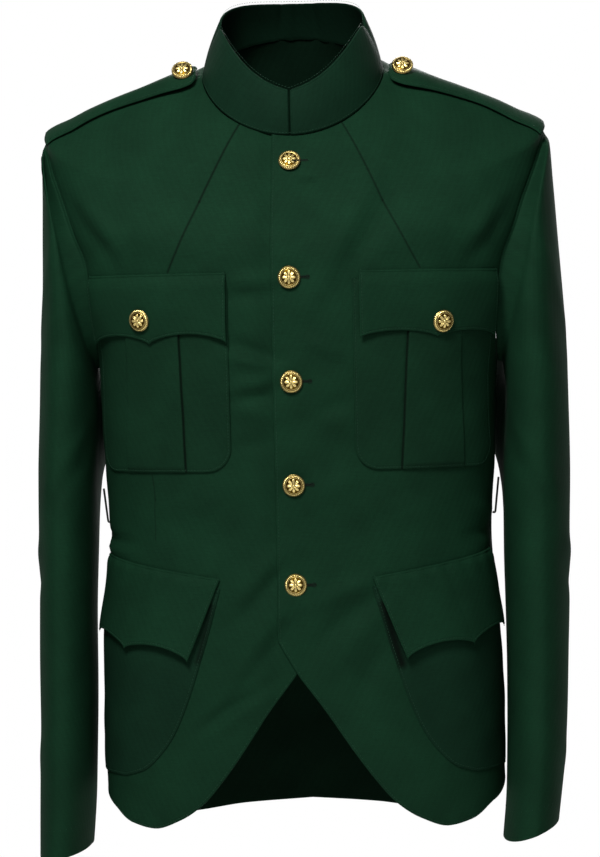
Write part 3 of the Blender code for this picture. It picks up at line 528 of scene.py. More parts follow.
def gabardine(name, shade=BASE_GREEN, seams=(), rough=0.80, gloss=0.06):
    """Worsted gabardine: a fine steep twill, woven tight, piece-dyed, with a dry low sheen and a faint fleck.

    Seams are lines on the cut with their reach to each side, in metres, and how dark the painted shade along
    them is: the shade of a pressed fold, a pleat edge or a pocket mouth, where the bump also dips the cloth.
    """
    made, tree, shader = shader_of(name, rough)
    shader.inputs["Specular IOR Level"].default_value = gloss
    place = add_node(tree, "ShaderNodeUVMap", {"uv_map": "cut"})
    # The real twill lines are 0.5 mm apart, too fine to show. They are drawn as faint bands about 6 mm apart,
    # since a wave texture repeats every tau / 20 / scale
    lean = add_node(tree, "ShaderNodeMapping", Vector=(place, "UV"),
                    Rotation=(0.0, 0.0, math.radians(90.0 - TWILL_STEEPNESS)))
    twill = add_node(tree, "ShaderNodeTexWave", {"wave_type": "BANDS", "bands_direction": "X"},
                     Vector=(lean, 0), Scale=TWILL_SCALE, Distortion=0.6, Detail=1.0)
    twill.inputs["Detail Scale"].default_value = 3.0
    fleck = add_node(tree, "ShaderNodeTexNoise", Vector=(place, "UV"), Scale=700.0, Detail=3.0, Roughness=0.6)
    cloud = add_node(tree, "ShaderNodeTexNoise", Vector=(place, "UV"), Scale=20.0, Detail=3.0, Roughness=0.55)
    # Thicker places in the weft are 1 mm high and 15 mm long
    long_places = add_node(tree, "ShaderNodeMapping", Vector=(place, "UV"), Scale=(60.0, 900.0, 1.0))
    slub = add_node(tree, "ShaderNodeTexNoise", Vector=(long_places, 0), Scale=1.0, Detail=2.0, Roughness=0.5)
    tone = None
    # How far each pattern lightens and darkens the dye; noise keeps to the middle of its range
    for source, swing, margin in ((fleck, 0.16, 0.3), (cloud, 0.14, 0.3), (slub, 0.08, 0.3), (twill, 0.03, 0.0)):
        part = add_node(tree, "ShaderNodeMapRange", None, Value=(source, "Fac"), From_Min=margin,
                        From_Max=1.0 - margin, To_Min=1.0 - swing, To_Max=1.0 + swing)
        tone = part if tone is None else add_node(tree, "ShaderNodeMath", {"operation": "MULTIPLY"},
                                                  n0=(tone, 0), n1=(part, 0))
    heights = add_node(tree, "ShaderNodeMath", {"operation": "MULTIPLY_ADD"}, n0=(fleck, "Fac"), n1=0.7,
                       n2=(twill, "Fac"))
    for start, end, reach, dark in seams:
        run = Vector((end[0] - start[0], end[1] - start[1], 0.0))
        east = add_node(tree, "ShaderNodeVectorMath", {"operation": "SUBTRACT"}, n0=(place, "UV"), n1=(*start, 0.0))
        share = add_node(tree, "ShaderNodeVectorMath", {"operation": "DOT_PRODUCT"}, n0=(east, 0),
                         n1=run / run.length_squared)
        held = add_node(tree, "ShaderNodeClamp", None, Value=(share, "Value"))
        along = add_node(tree, "ShaderNodeVectorMath", {"operation": "SCALE"}, n0=run, Scale=(held, 0))
        off = add_node(tree, "ShaderNodeVectorMath", {"operation": "SUBTRACT"}, n0=(east, 0), n1=(along, 0))
        far = add_node(tree, "ShaderNodeVectorMath", {"operation": "LENGTH"}, n0=(off, 0))
        # Painted shade: the colour is darkened towards each seam line
        painted_seam_shade = add_node(tree, "ShaderNodeMapRange", {"interpolation_type": "SMOOTHSTEP"}, Value=(far, "Value"),
                        From_Max=reach, To_Min=1.0 - dark, To_Max=1.0)
        tone = add_node(tree, "ShaderNodeMath", {"operation": "MULTIPLY"}, n0=(tone, 0), n1=(painted_seam_shade, 0))
        dip = add_node(tree, "ShaderNodeMapRange", {"interpolation_type": "SMOOTHSTEP"}, Value=(far, "Value"),
                       From_Max=2.0 * reach, To_Min=0.0, To_Max=5.0 * dark)
        heights = add_node(tree, "ShaderNodeMath", {"operation": "ADD"}, n0=(heights, 0), n1=(dip, 0))
    dyed = add_node(tree, "ShaderNodeVectorMath", {"operation": "SCALE"}, n0=linear(shade)[:3], Scale=(tone, 0))
    tree.links.new(dyed.outputs[0], shader.inputs["Base Color"])
    bump = add_node(tree, "ShaderNodeBump", None, Height=(heights, 0), Strength=0.30, Distance=0.0002)
    tree.links.new(bump.outputs[0], shader.inputs["Normal"])
    return made


# Each front has a dart from the neck seam to its chest flap; the wearer's right one has one at the waist too.
# Each row is a start and an end on the cut, the reach to each side and how dark the painted shade along the pressed
# dart is.
LEFT_DARTS = (((0.049, -0.040), (0.086, -0.120), 0.0017, 0.60), ((0.086, -0.120), (0.120, -0.182), 0.0017, 0.55))
RIGHT_DARTS = (((0.048, -0.038), (0.083, -0.118), 0.0020, 0.70), ((0.083, -0.118), (0.113, -0.182), 0.0020, 0.65),
               ((0.136, -0.368), (0.133, -0.392), 0.0012, 0.40), ((0.133, -0.392), (0.134, -0.429), 0.0012, 0.35))
GREEN = gabardine("dark green worsted gabardine, woven")
GREEN_LEFT = gabardine("dark green gabardine with a neck dart in painted shade", seams=LEFT_DARTS)
GREEN_RIGHT = gabardine("dark green gabardine with neck and waist darts", seams=RIGHT_DARTS)
# The inner faces are the same twill painted darker, as painted shade
PAINTED_SHADE_INSIDE = gabardine("dark green twill, inner faces painted darker for shade", "0A1C12", rough=0.92, gloss=0.02)


def flat_places(around, heights):
    return np.stack((around, heights), axis=-1)


def front_points(side, travel, around, lift=0.0):
    """Places on a front with its folds, standing a given lift off the cloth."""
    points, outward = on_body("front", side, travel, around)
    rise = folds(FRONT_FOLDS, around * side, points[..., 2])
    near_seam = np.clip((ring_length("front", travel) - np.abs(around)) / SEAM_FADE, 0.0, 1.0)
    return points + outward * (rise * near_seam + lift)[..., None], outward


def dress(made, node):
    """Set a piece of cloth on the tunic and let it stand for its plain solid."""
    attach(made, "root")
    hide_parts(node)


def soft_step(value):
    value = np.clip(value, 0.0, 1.0)
    return value * value * (3.0 - 2.0 * value)


def plain_mesh(drawn, name):
    """The finished mesh of a drawn object, which is taken away with its modifiers."""
    bpy.context.view_layer.update()
    finished = bpy.data.meshes.new_from_object(drawn.evaluated_get(bpy.context.evaluated_depsgraph_get()))
    finished.name = name
    bpy.data.objects.remove(drawn)
    return finished


def stitch_tree():
    """Nodes that lay one small waxed stitch after another along paths that carry their own outward ways."""
    tree = bpy.data.node_groups.new("stitches_along_a_path", "GeometryNodeTree")
    face = tree.interface
    face.new_socket("Path", in_out="INPUT", socket_type="NodeSocketGeometry")
    for label in ("Pitch", "Length", "Width", "Rise", "Turn"):
        face.new_socket(label, in_out="INPUT", socket_type="NodeSocketFloat")
    face.new_socket("Thread", in_out="INPUT", socket_type="NodeSocketMaterial")
    face.new_socket("Stitches", in_out="OUTPUT", socket_type="NodeSocketGeometry")
    given = add_node(tree, "NodeGroupInput")
    line = add_node(tree, "GeometryNodeMeshToCurve", Mesh=(given, "Path"))
    spots = add_node(tree, "GeometryNodeCurveToPoints", {"mode": "LENGTH"}, Curve=(line, 0), Length=(given, "Pitch"))
    outward = add_node(tree, "GeometryNodeInputNamedAttribute", {"data_type": "FLOAT_VECTOR"}, Name="outward")
    upright = add_node(tree, "FunctionNodeAlignRotationToVector", {"axis": "Z"}, Vector=(outward, "Attribute"))
    along = add_node(tree, "FunctionNodeAlignRotationToVector", {"axis": "X", "pivot_axis": "Z"},
                     Rotation=(upright, 0), Vector=(spots, "Tangent"))
    own_turn = add_node(tree, "ShaderNodeCombineXYZ", Z=(given, "Turn"))
    to_turn = add_node(tree, "FunctionNodeEulerToRotation", Euler=(own_turn, 0))
    turned = add_node(tree, "FunctionNodeRotateRotation", {"rotation_space": "LOCAL"}, Rotation=(along, 0),
                      Rotate_By=(to_turn, 0))
    bead = add_node(tree, "GeometryNodeMeshIcoSphere", Radius=0.5, Subdivisions=1)
    size = add_node(tree, "ShaderNodeCombineXYZ", X=(given, "Length"), Y=(given, "Width"), Z=(given, "Rise"))
    laid_down = add_node(tree, "GeometryNodeInstanceOnPoints", Points=(spots, "Points"), Instance=(bead, "Mesh"),
                         Rotation=(turned, 0), Scale=(size, 0))
    real = add_node(tree, "GeometryNodeRealizeInstances", Geometry=(laid_down, 0))
    smooth = add_node(tree, "GeometryNodeSetShadeSmooth", Geometry=(real, 0))
    done = add_node(tree, "GeometryNodeSetMaterial", Geometry=(smooth, 0), Material=(given, "Thread"))
    add_node(tree, "NodeGroupOutput", Stitches=(done, 0))
    return tree


STITCHES = stitch_tree()


def sewn(name, paths, thread, pitch=0.0030, length=0.0023, width=0.00045, rise=0.00034, turn=0.0):
    """One piece of stitches along a list of paths, each a pair of places and outward ways."""
    dots = np.concatenate([places for places, ways in paths])
    ways = np.concatenate([ways for places, ways in paths])
    edges = []
    first = 0
    for places, unused in paths:
        edges += [(place, place + 1) for place in range(first, first + len(places) - 1)]
        first += len(places)
    mesh = bpy.data.meshes.new(name + "_path")
    mesh.from_pydata(dots.tolist(), edges, [])
    mesh.attributes.new("outward", "FLOAT_VECTOR", "POINT").data.foreach_set("vector", ways.astype(np.float32).ravel())
    path = placed(name + "_path", mesh)
    sewing = path.modifiers.new("stitches", "NODES")
    sewing.node_group = STITCHES
    wanted = {"Pitch": pitch, "Length": length, "Width": width, "Rise": rise, "Turn": turn, "Thread": thread}
    for socket in STITCHES.interface.items_tree:
        if socket.name in wanted:
            sewing[socket.identifier] = wanted[socket.name]
    made = placed(name, plain_mesh(path, name))
    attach(made, "root")


def round_the_edge(rows, columns, sides):
    """Rows and columns of the points along some sides of a grid, one side after another."""
    first = [(row, 0) for row in range(rows)]
    last = [(row, columns - 1) for row in range(rows)]
    lines = {"first up": first, "first down": first[::-1], "last down": last[::-1],
             "low": [(0, column) for column in range(columns)],
             "high": [(rows - 1, column) for column in range(columns)]}
    found = [spot for side in sides for spot in lines[side]]
    return np.array([spot for place, spot in enumerate(found) if place == 0 or spot != found[place - 1]])


def stitch_line(name, sides=("first up", "high", "last down")):
    """A path a set distance in from the edge of a finished piece, lying on its face, with its outward ways."""
    face, shape = cloth_faces[name]
    spots = round_the_edge(face.shape[0], face.shape[1], sides)
    rim = face[spots[:, 0], spots[:, 1]]
    ways = shape[spots[:, 0], spots[:, 1]]
    reach = reach_along(rim)
    even = np.linspace(0.0, reach[-1], int(reach[-1] / STITCH_PATH_STEP))
    rim = along_line(rim, reach, even)
    ways = unit(along_line(ways, reach, even))
    flat = face.reshape(-1, 3)
    flat_ways = shape.reshape(-1, 3)
    inward = turned_towards(unit(np.cross(ways, np.gradient(rim, axis=0))), flat.mean(axis=0) - rim)
    rough = rim + inward * STITCH_INSET
    rim_tree = search_tree(rim)
    # At an inner corner the path would double back on itself, so what comes too near the rim is left out
    clear = np.array([rim_tree.find(point)[2] for point in rough]) > 0.93 * STITCH_INSET
    face_tree = search_tree(flat)
    places, outward = [], []
    for point in rough[clear]:
        near = face_tree.find_n(point, 4)
        weights = np.array([1.0 / (found[2] + 1e-5) for found in near])
        weights = weights / weights.sum()
        way = unit((flat_ways[[found[1] for found in near]] * weights[:, None]).sum(axis=0))
        off = sum(weight * ((flat[found[1]] - point) @ way) for weight, found in zip(weights, near))
        places.append(point + way * (off + 0.00005))
        outward.append(way)
    return np.array(places), np.array(outward)


def sewing_thread(name, shade):
    """Corespun polyester thread: twisted, waxed, with a soft shine, a little lighter than the cloth."""
    made, tree, shader = shader_of(name, 0.55)
    shader.inputs["Specular IOR Level"].default_value = 0.15
    place = add_node(tree, "ShaderNodeTexCoord")
    # The thread's own twist is 0.3 mm a turn, drawn as a light and dark run of 2 mm
    twist = add_node(tree, "ShaderNodeTexNoise", Vector=(place, "Object"), Scale=500.0, Detail=2.0)
    tone = add_node(tree, "ShaderNodeMapRange", None, Value=(twist, "Fac"), From_Min=0.3, From_Max=0.7,
                    To_Min=0.75, To_Max=1.25)
    dyed = add_node(tree, "ShaderNodeVectorMath", {"operation": "SCALE"}, n0=linear(shade)[:3], Scale=(tone, 0))
    tree.links.new(dyed.outputs[0], shader.inputs["Base Color"])
    return made


GREEN_THREAD = sewing_thread("green corespun thread, twisted", "1F3F2E")


# The armhole edges by panel and side, which the sleeves are sewn to
armhole_rims = {}
travel, around, armhole_first, armhole_last = panel_grid("front", -OUTER_LAP)
points, outward = front_points(1.0, travel, around)
front_left = cloth_wall("tunic_front_left", points, outward, CLOTH_WALL, flat_places(around, points[..., 2]),
                        {"first": "turned", "low": "turned", "last": "seam", "high": "seam"})
front_left.data.materials[0] = GREEN_LEFT
dress(front_left, "front_left")
armhole_rims["front left"] = (points[armhole_first:armhole_last + 1, -1], outward[armhole_first:armhole_last + 1, -1])

travel, around, armhole_first, armhole_last = panel_grid("front", -INNER_LAP)
points, outward = front_points(-1.0, travel, around)
armhole_rims["front right"] = (points[armhole_first:armhole_last + 1, -1], outward[armhole_first:armhole_last + 1, -1])
# Where the left front laps over it, the right one steps in
step = soft_step((points[..., 0] + OUTER_LAP + STEP_CLEAR + STEP_RUN) / STEP_RUN)
points = points - outward * (STEP_DEPTH * step)[..., None]
front_right = cloth_wall("tunic_front_right", points, outward, CLOTH_WALL, flat_places(around, points[..., 2]),
                         {"first": "turned", "low": "turned", "last": "seam", "high": "seam"})
front_right.data.materials[0] = GREEN_RIGHT
dress(front_right, "front_right")
sewn("front_stitches", [stitch_line("tunic_front_left", ("first down", "low")),
                        stitch_line("tunic_front_right", ("first down", "low"))], GREEN_THREAD)


# Back: one plain panel, cut whole, hanging from the shoulder seams. Its folds are only the easy ones at the waist.
BACK_FOLDS = (
    (-0.190, -0.405, -0.060, -0.430, 0.0100, 0.0016), (-0.200, -0.425, -0.070, -0.450, 0.0090, -0.0014),
    (0.190, -0.405, 0.060, -0.432, 0.0100, 0.0016), (0.200, -0.428, 0.065, -0.452, 0.0090, -0.0014),
    (-0.170, -0.130, -0.120, -0.260, 0.0150, 0.0014), (0.170, -0.130, 0.120, -0.260, 0.0150, 0.0014),
    (-0.060, -0.470, -0.095, -0.640, 0.0200, 0.0016), (0.060, -0.470, 0.095, -0.640, 0.0200, 0.0016),
    (0.004, -0.480, 0.006, -0.650, 0.0160, -0.0012), (-0.050, -0.395, 0.050, -0.398, 0.0110, -0.0010),
)
halves = []
for word, side in reversed(SIDES):
    travel, around, armhole_first, armhole_last = panel_grid("back", 0.0)
    # The centre back has no edge, so the close lines there go
    travel = np.delete(travel, range(1, len(EDGE_LINES)), axis=1)
    around = np.delete(around, range(1, len(EDGE_LINES)), axis=1)
    points, outward = on_body("back", side, travel, around)
    near_seam = np.clip((ring_length("back", travel) - around) / SEAM_FADE, 0.0, 1.0)
    points = points + outward * (folds(BACK_FOLDS, around * side, points[..., 2]) * near_seam)[..., None]
    halves.append((points, outward, flat_places(around * side, points[..., 2])))
    armhole_rims["back " + word] = (points[armhole_first:armhole_last + 1, -1],
                                    outward[armhole_first:armhole_last + 1, -1])
points, outward, spread = [np.concatenate((halves[0][part][:, ::-1], halves[1][part][:, 1:]), axis=1)
                           for part in range(3)]
back = cloth_wall("tunic_back", points, outward, CLOTH_WALL, spread,
                  {"low": "turned", "first": "seam", "last": "seam", "high": "seam"})
dress(back, "back")
sewn("back_hem_stitches", [stitch_line("tunic_back", ("low",))], GREEN_THREAD)


# Sleeves: two-piece sleeves set into the armholes, hanging straight down, with a pressed edge in front, the hind
# seam behind and a turned cuff hem that is blind-stitched 30 mm up. They are rings of cloth swept down the arm.
SLEEVE_COLUMNS = ("left_inner", "left_outer", "right_inner", "right_outer", "inner_z", "outer_z",
                  "half_depth", "middle_y", "sway")
SLEEVE_RINGS = (
    (0.1925, 0.2396, 0.1925, 0.2390, -0.2705, -0.0640, 0.0690, -0.003, 0.0010),
    (0.1925, 0.2414, 0.1925, 0.2400, -0.2800, -0.1000, 0.0740, -0.004, 0.0020),
    (0.1925, 0.2441, 0.1925, 0.2418, -0.2950, -0.1550, 0.0760, -0.004, 0.0032),
    (0.1922, 0.2480, 0.1926, 0.2440, -0.3150, -0.2250, 0.0760, -0.004, 0.0034),
    (0.1918, 0.2524, 0.1934, 0.2474, -0.3400, -0.3000, 0.0755, -0.004, 0.0028),
    (0.1906, 0.2538, 0.1946, 0.2496, -0.3800, -0.3700, 0.0750, -0.004, 0.0016),
    (0.1908, 0.2528, 0.1952, 0.2494, -0.4400, -0.4400, 0.0740, -0.005, 0.0010),
    (0.1928, 0.2520, 0.1964, 0.2490, -0.5200, -0.5200, 0.0730, -0.008, 0.0000),
    (0.1926, 0.2490, 0.1972, 0.2492, -0.6000, -0.6000, 0.0720, -0.012, 0.0000),
    (0.1918, 0.2462, 0.1984, 0.2492, -0.6700, -0.6700, 0.0710, -0.016, -0.0012),
    (0.1915, 0.2446, 0.1984, 0.2468, -0.7240, -0.7240, 0.0700, -0.018, -0.0050),
)
# How far the cuff edge rises on its inner and its outer side
CUFFS = {"left": (0.0050, 0.0220), "right": (0.0020, -0.0060)}
CUFF_BEND = -0.60
CUFF_LENGTH = 0.124
SLEEVE_SQUARE = 2.1
SLEEVE_LENGTH = 0.66
ARM_HALF_GIRTH = 0.19
PRESSED_EDGE = 0.54
HIND_SEAM = 1.22
CUFF_HEM = 0.030
# How far the back of each ring leans in behind the body beside the armpit
SLEEVE_LEAN = {"left": (0.000, 0.006, 0.024, 0.038, 0.038, 0.019, 0.000, 0.0, 0.0, 0.0, 0.0),
               "right": (0.000, 0.003, 0.012, 0.023, 0.024, 0.009, 0.000, 0.0, 0.0, 0.0, 0.0)}
# Each row is from_turn, from_height, to_turn, to_height, width, rise, with turns round the arm as shares of pi
ARM_FOLDS = (
    (0.30, -0.335, 0.62, -0.375, 0.0100, 0.0012), (0.28, -0.360, 0.60, -0.398, 0.0090, -0.0010),
    (0.85, -0.440, 1.30, -0.475, 0.0100, 0.0012), (0.80, -0.465, 1.25, -0.500, 0.0090, -0.0010),
    (1.60, -0.430, 1.20, -0.490, 0.0120, 0.0010), (0.60, -0.150, 0.90, -0.230, 0.0120, 0.0010),
    (1.10, -0.120, 0.95, -0.260, 0.0150, 0.0010), (0.50, -0.600, 0.95, -0.640, 0.0130, 0.0008),
)


def rings_through(rings, wanted):
    """Rings at wanted distances down a row of known rings, by a smooth curve through each of their points."""
    legs = np.linalg.norm(np.diff(rings, axis=0), axis=2).mean(axis=1)
    reach = np.concatenate(([0.0], np.cumsum(legs)))
    wanted = np.asarray(wanted) * reach[-1]
    flat = rings.reshape(len(rings), -1)
    found = np.stack([smooth_curve(reach, flat[:, place], wanted) for place in range(flat.shape[1])], axis=1)
    return found.reshape(len(wanted), *rings.shape[1:])


def sleeve(word, side):
    front_rim, front_way = armhole_rims["front " + word]
    back_rim, back_way = armhole_rims["back " + word]
    loop = np.concatenate((front_rim, back_rim[-2:0:-1]))
    rim_way = np.concatenate((front_way, back_way[-2:0:-1]))
    count = len(loop)
    ways = unit(np.cross(np.roll(loop, -1, axis=0) - np.roll(loop, 1, axis=0), rim_way))
    ways = turned_towards(ways, loop.mean(axis=0) - loop)
    turn = np.linspace(0.0, math.tau, count, endpoint=False)
    underarm = (((1.0 + np.cos(turn)) / 2.0) ** 3)[:, None]
    overarm = (((1.0 - np.cos(turn)) / 2.0) ** 8)[:, None]
    first = loop + ways * (0.0002 + 0.0008 * overarm)
    second = first + ways * 0.0035 * (1.0 - underarm) + rim_way * (0.0008 + 0.0034 * underarm)
    rings = [first, second]
    power = 2.0 / SLEEVE_SQUARE
    across = np.sign(np.cos(turn)) * np.abs(np.cos(turn)) ** power
    forward = np.sign(np.sin(turn)) * np.abs(np.sin(turn)) ** power
    inner_rise, outer_rise = CUFFS[word]
    for row, lean in zip(SLEEVE_RINGS, SLEEVE_LEAN[word]):
        sizes = dict(zip(SLEEVE_COLUMNS, row))
        low = max(0.0, (CUFF_BEND - sizes["inner_z"]) / CUFF_LENGTH)
        inner = np.array((side * sizes[word + "_inner"] + sizes["sway"], sizes["middle_y"],
                          sizes["inner_z"] + inner_rise * low))
        outer = np.array((side * sizes[word + "_outer"] + sizes["sway"], sizes["middle_y"],
                          sizes["outer_z"] + outer_rise * low))
        ring = (inner + outer) / 2.0 + across[:, None] * (inner - outer) / 2.0
        ring = ring - forward[:, None] * np.array((0.0, sizes["half_depth"], 0.0))
        ring[:, 0] -= side * lean * np.maximum(0.0, -forward) ** 1.5
        rings.append(ring)
    places = spaced(SLEEVE_LENGTH, CLOTH_STEP)
    grid = rings_through(np.array(rings), places)
    centre = grid.mean(axis=1, keepdims=True)
    outward = turned_towards(grid_normals(grid, True), grid - centre)
    height = grid[..., 2]
    set_in = np.clip((places[:, None] - 0.01) / 0.08, 0.0, 1.0)
    arm_turn = np.broadcast_to(turn[None, :] / math.pi, height.shape)
    rise = np.zeros(height.shape)
    for from_turn, from_height, to_turn, to_height, width, up in ARM_FOLDS:
        part, off, beyond = beside_fold(arm_turn * ARM_HALF_GIRTH, height, (from_turn * ARM_HALF_GIRTH, from_height),
                                        (to_turn * ARM_HALF_GIRTH, to_height))
        rise += up * bell(beyond, width * 1.6) * bell(off, width)
    below_head = np.clip((places[:, None] - 0.15) / 0.2, 0.0, 1.0)
    pressed = 0.0007 * bell((arm_turn - PRESSED_EDGE) * ARM_HALF_GIRTH, 0.0100) * below_head
    hind = -0.0006 * bell((arm_turn - HIND_SEAM) * ARM_HALF_GIRTH, 0.0014)
    lively = 0.0004 * np.sin(height * 31.0 + arm_turn * 4.0) * np.sin(height * 17.0 + arm_turn * 9.0 + side)
    grid = grid + outward * ((rise + pressed + hind + lively) * set_in)[..., None]
    normals = turned_towards(grid_normals(grid, True), outward)
    turned = unit(rim_way * (1.0 - underarm) - ways * underarm)
    blend = np.clip(places[:, None, None] * SLEEVE_LENGTH / 0.010, 0.0, 1.0)
    wall_way = unit(normals * blend + turned[None] * (1.0 - blend))
    closed = np.concatenate((grid, grid[:, :1]), axis=1)
    made = cloth_wall("tunic_sleeve_" + word, grid, grid - centre, CLOTH_WALL,
                      flat_places(reach_along(closed, 1), closed[..., 2]), {"low": "seam", "high": "plain"},
                      wrap=True, wall_way=wall_way)
    dress(made, "sleeve_" + word)
    face, shape = cloth_faces[made.name]
    hem = int(np.argmin(np.abs((1.0 - places) * SLEEVE_LENGTH - CUFF_HEM)))
    return face[hem], shape[hem]


cuff_lines = [sleeve(word, side) for word, side in SIDES]
sewn("cuff_hem_stitches", cuff_lines, GREEN_THREAD, pitch=0.0060, length=0.0012, width=0.00040, rise=0.00030)


# Collar: a stand collar of doubled cloth, stiff and edge-stitched, sewn round the neck and meeting edge to edge
# at the centre front. Its inside shows at the back, with a few soft creases where it has been bent.
COLLAR_WALL = 0.0028
COLLAR_TOP_FRONT = -0.0150
COLLAR_TOP_SIDE = 0.0480
COLLAR_TOP_BACK = 0.0770
COLLAR_TOP_WIDTH = 0.0690
COLLAR_TOP_DEPTH_FRONT = 0.0740
COLLAR_TOP_DEPTH_BACK = 0.0600
COLLAR_FRONT_POWER = 1.9
COLLAR_BACK_SQUARE = 4.0
COLLAR_BACK_POWER = 0.30
COLLAR_SLIT = 0.0016
COLLAR_SWELL = 0.0022
COLLAR_GIRTH = 0.50
COLLAR_HEIGHT = 0.045
COLLAR_STEP = 0.0030
COLLAR_NOTCH = 0.055
# Turn round the neck, width and rise of each crease
COLLAR_CREASES = ((3.32, 0.040, 0.0020), (3.20, 0.035, -0.0022), (2.90, 0.040, 0.0020), (2.78, 0.040, -0.0022))

around_neck = spaced(COLLAR_GIRTH, COLLAR_STEP)
turns = around_neck * math.tau
base = np.zeros((len(turns), 3))
quarter = math.pi / 2.0
for facing, side, centre, picked in (
    ("front", 1.0, 0.0, turns <= quarter), ("back", 1.0, math.pi, (turns > quarter) & (turns <= math.pi)),
    ("back", -1.0, math.pi, (turns > math.pi) & (turns <= 3.0 * quarter)),
    ("front", -1.0, math.tau, turns > 3.0 * quarter),
):
    share = np.abs(turns[picked] - centre) / quarter
    length = ring_length(facing, NECK_TRAVEL)
    base[picked] = on_body(facing, side, np.full(share.shape, NECK_TRAVEL), share * length)[0]
forward = np.cos(turns)
depth = np.where(forward >= 0.0, COLLAR_TOP_DEPTH_FRONT, COLLAR_TOP_DEPTH_BACK)
dip = np.abs(forward) ** COLLAR_FRONT_POWER
rear = np.maximum(0.0, 1.0 - np.abs(np.sin(turns)) ** COLLAR_BACK_SQUARE) ** COLLAR_BACK_POWER
# The top edge drops a little further towards the centre front
dip = dip + COLLAR_NOTCH * np.exp(-np.abs(np.sin(turns)) / 0.15) - COLLAR_NOTCH
lift = COLLAR_TOP_SIDE + np.where(forward >= 0.0, (COLLAR_TOP_FRONT - COLLAR_TOP_SIDE) * np.maximum(dip, 0.0),
                                  (COLLAR_TOP_BACK - COLLAR_TOP_SIDE) * rear)
top = np.stack((COLLAR_TOP_WIDTH * np.sin(turns), -depth * forward, lift), axis=1)
base = base + unit(top - base) * 0.0002
rows = spaced(COLLAR_HEIGHT, COLLAR_STEP)
grid = base[None] * (1.0 - rows[:, None, None]) + top[None] * rows[:, None, None]
level_way = unit(grid * np.array((1.0, 1.0, 0.0)))
bend = np.zeros((len(rows), len(turns)))
for place, width, rise in COLLAR_CREASES:
    bend += rise * bell(turns[None, :] - place, width) * rows[:, None] ** 0.5
grid = grid + level_way * (COLLAR_SWELL * np.sin(math.pi * rows)[:, None] + bend)[..., None]
open_part = np.clip((0.020 - np.abs(grid[..., 0])) / 0.020, 0.0, 1.0) * (grid[..., 1] < 0.0)
grid[..., 0] += np.where(turns < math.pi, 1.0, -1.0) * COLLAR_SLIT / 2.0 * open_part
wall_way = turned_towards(grid_normals(grid), level_way)
wall_way[:, 0, 0] = 0.0
wall_way[:, -1, 0] = 0.0
wall_way = unit(wall_way)
lengths = reach_along(grid[len(rows) // 2])
spread = flat_places(np.broadcast_to(lengths[None, :], bend.shape),
                     np.broadcast_to(rows[:, None] * COLLAR_HEIGHT, bend.shape))
inside = grid - wall_way * COLLAR_WALL
# The lowest inner rows reach down past the neck seam, so that no light comes through it
inside[:3, :, 2] -= np.array((0.0018, 0.0012, 0.0006))[:, None]
collar = cloth_wall("tunic_collar", grid, level_way, COLLAR_WALL, spread,
                    {"low": "plain", "high": "turned", "first": "turned", "last": "turned"}, inner=inside)
# The collar is painted a shade darker than the fronts, and its inner face darker still: painted shade
collar.data.materials[0] = gabardine("dark green gabardine over stiff canvas", "0E291B")
collar.data.materials[1] = gabardine("dark green twill, inside the collar", "07180F", rough=0.92, gloss=0.02)
dress(collar, "collar")
sewn("collar_stitches", [stitch_line("tunic_collar"), stitch_line("tunic_collar", ("low",))], GREEN_THREAD)


# Chest pockets: round-cornered patches with one box pleat, edge-stitched all round but for the top, each under a
# three-pointed flap that is sewn on above it and buttons down at its middle point.
PATCH_WALL = 0.0014
PATCH_LIFT = 0.0006
PLEAT_RISE = 0.0017
FLAP_WALL = 0.0018
FLAP_LIFT = 0.0036
FLAP_SEAM_LIFT = 0.0007
SCALLOP_RISE = 0.009
CHEST_FLAP_TOP = -0.184
CHEST_FLAP_OUTER = 0.205
# Inner edge, foot and rise of the scallops
CHEST_FLAPS = {"left": (0.0630, -0.2450, 0.0060), "right": (0.0580, -0.2480, 0.0090)}
CHEST_PATCH_TOP = -0.192
CHEST_PATCH_FOOT = -0.366
CHEST_PATCH_INNER = 0.057
CHEST_PATCH_OUTER = 0.205
CHEST_PATCH_CORNER = 0.022
# Inner and outer edge of each box pleat at its top, then at its foot
PLEATS = {"left": (0.111, 0.160, 0.100, 0.163), "right": (0.105, 0.157, 0.100, 0.163)}
PLEAT_LINES = np.array((-0.0040, -0.0022, -0.0012, -0.0006, -0.0002, 0.0002, 0.0006, 0.0012, 0.0022, 0.0040))
POCKET_STEP = 0.0040
PATCH_EDGES = {"first": "turned", "low": "plain", "last": "turned", "high": "turned"}
FLAP_EDGES = {"first": "turned", "low": "turned", "last": "turned", "high": "turned"}


def laid(side, heights, arounds, lift):
    """Places on a front at ring heights and distances from the centre, standing a lift off the cloth."""
    return front_points(side, travel_at_level(heights), arounds, lift)


